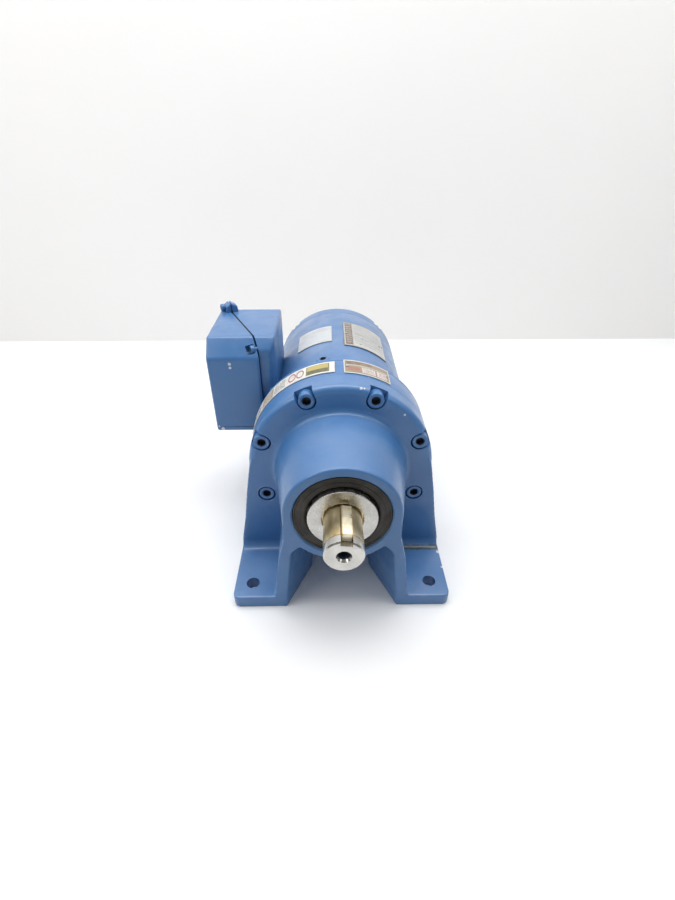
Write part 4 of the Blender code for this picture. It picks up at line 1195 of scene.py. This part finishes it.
def build_labels():
    lift = 0.0003
    plates = (
        ("ring_plate_left", "ring_label_left", RIM_R, 0.0820, 0.1010, -75, -3.4, False),
        ("ring_plate_right", "ring_label_right", RIM_R, 0.0805, 0.1040, 2, 31, True),
        ("motor_plate_left", "motor_label_left", MOTOR_R, 0.171, 0.210, -36, -5.5, False),
        ("motor_plate_right", "motor_nameplate", MOTOR_R, 0.161, 0.221, 4.5, 43, True),
    )
    for name, node, radius, front, rear, first, last, pinned in plates:
        plate = curved_plate(name, radius + lift, front, rear, first, last)
        finish_piece(plate, "housing", node, node)
        if pinned:
            pin_plate(name, radius, front, rear, first, last)


def pin_plate(name, radius, front, rear, first, last):
    """A drive pin with a domed head near each end of a metal plate."""
    inset = math.degrees(0.0026 / radius)
    middle = (front + rear) / 2
    for number, angle in enumerate((first + inset, last - inset), 1):
        dome = [(0, 0.0020), (0.0010, 0.0020), (0.0010, 0.0006)]
        dome += [(0.0013, 0.0006, 0.0002), (0.0009, 0.0, 0.0006), (0, 0)]
        pin = lathe(f"{name}_pin_{number}", dome, 20, (0, 0), 3)
        x, z = on_circle(radius + 0.0016, angle)
        outward = Vector((x, 0, z - AXIS_Z)).normalized()
        turn = (-outward).to_track_quat("Y", "Z").to_matrix().to_4x4()
        pin.data.transform(Matrix.Translation((x, middle, z)) @ turn)
        finish_piece(pin, "housing", "collar_steel", ())


# ---------------------------------------------------------------- inner pieces, which keep their CAD shape

INNER_FINISHES = {
    "gear_steel": ("ring_gear_pins", "cycloid_disc_1", "cycloid_disc_2", "eccentric_cam", "motor_shaft"),
    "bearing_steel": (
        "cam_roller_bearing_1",
        "cam_roller_bearing_2",
        "front_bearing_outer_ring",
        "front_bearing_inner_ring",
        "front_bearing_balls",
        "rear_bearing_outer_ring",
        "rear_bearing_inner_ring",
        "rear_bearing_balls",
        "motor_front_bearing_outer_ring",
        "motor_front_bearing_inner_ring",
        "motor_rear_bearing_outer_ring",
        "motor_rear_bearing_inner_ring",
    ),
    "spacer_steel": ("disc_spacer", "bearing_spacer"),
    "laminations": ("stator_core", "rotor_core"),
    "windings": ("winding_front", "winding_rear"),
    "phenolic": ("terminal_block",),
    "gasket_rubber": ("terminal_box_gasket", "input_oil_seal"),
}


def dress_inner_pieces():
    for finish, nodes in INNER_FINISHES.items():
        for node in nodes:
            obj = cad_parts[node]
            obj.data.materials.clear()
            obj.data.materials.append(materials[finish])


# ---------------------------------------------------------------- stage, light and camera


def plain_finish(name, colour, roughness):
    looks = Looks(name, roughness)
    shade = tuple(value * 0.985 for value in colour)
    looks.colour(looks.mix(looks.step(looks.noise(3.0, 3.0), 0.3, 0.7), colour, shade))
    looks.shader.inputs["Specular IOR Level"].default_value = 0.25


def build_stage():
    plain_finish("floor_white", (0.88, 0.885, 0.89), 0.45)
    plain_finish("wall_white", (0.93, 0.915, 0.90), 0.8)
    shape = bmesh.new()
    bmesh.ops.create_grid(shape, x_segments=1, y_segments=1, size=4.0)
    floor = add_mesh("floor", shape)
    floor.data.materials.append(materials["floor_white"])
    wall = block("wall", (-4.0, 0, -0.01), (4.0, 0.02, 1.2))
    wall.location = (0, PLACE.y + WALL_DISTANCE, 0)
    wall.data.materials.append(materials["wall_white"])


def area_light(name, spot, target, size, power, colour=(1, 1, 1)):
    data = bpy.data.lights.new(name, "AREA")
    data.shape = "RECTANGLE"
    data.size, data.size_y = size
    data.energy = power
    data.color = colour
    lamp = bpy.data.objects.new(name, data)
    bpy.context.scene.collection.objects.link(lamp)
    lamp.location = spot
    lamp.rotation_euler = (Vector(target) - Vector(spot)).to_track_quat("-Z", "Y").to_euler()


def build_light():
    world = bpy.data.worlds.new("studio")
    bpy.context.scene.world = world
    world.use_nodes = True
    background = world.node_tree.nodes["Background"]
    background.inputs["Color"].default_value = (0.96, 0.98, 1.0, 1)
    background.inputs["Strength"].default_value = 0.27
    area_light("overhead", (0.0, 0.05, 1.30), (0, 0, 0.05), (1.6, 0.7), 16.5)
    area_light("left_strip", (-0.95, -0.45, 0.95), (0, 0, 0.08), (0.9, 0.35), 4.0)
    area_light("right_strip", (0.95, -0.40, 0.85), (0, 0, 0.08), (0.7, 0.35), 1.4)
    scene = bpy.context.scene
    scene.view_settings.view_transform = "Standard"


def build_camera():
    """The camera stands above the shaft end and looks down along the machine."""
    data = bpy.data.cameras.new("camera")
    data.sensor_width = 36.0
    data.lens = 18.80
    data.clip_start = 0.01
    data.clip_end = 20
    camera = bpy.data.objects.new("camera", data)
    bpy.context.scene.collection.objects.link(camera)
    camera.location = PLACE + Vector((-0.00838, -0.24948, 0.33405))
    pitch = math.radians(34.936)
    yaw = math.radians(1.0507)
    roll = math.radians(0.1406)
    forward = Vector((math.sin(yaw) * math.cos(pitch), math.cos(yaw) * math.cos(pitch), -math.sin(pitch)))
    right = Vector((math.cos(yaw), -math.sin(yaw), 0))
    up = right.cross(forward)
    right, up = right * math.cos(roll) + up * math.sin(roll), up * math.cos(roll) - right * math.sin(roll)
    turn = Matrix((right, up, -forward)).transposed()
    camera.rotation_euler = turn.to_euler()
    bpy.context.scene.camera = camera


def build_all():
    make_finishes()
    build_casting()
    build_fasteners()
    build_output_end()
    build_ring_housing()
    build_motor()
    build_box_cover()
    build_box_base()
    build_labels()
    dress_inner_pieces()
    build_stage()
    build_light()
    build_camera()


build_all()
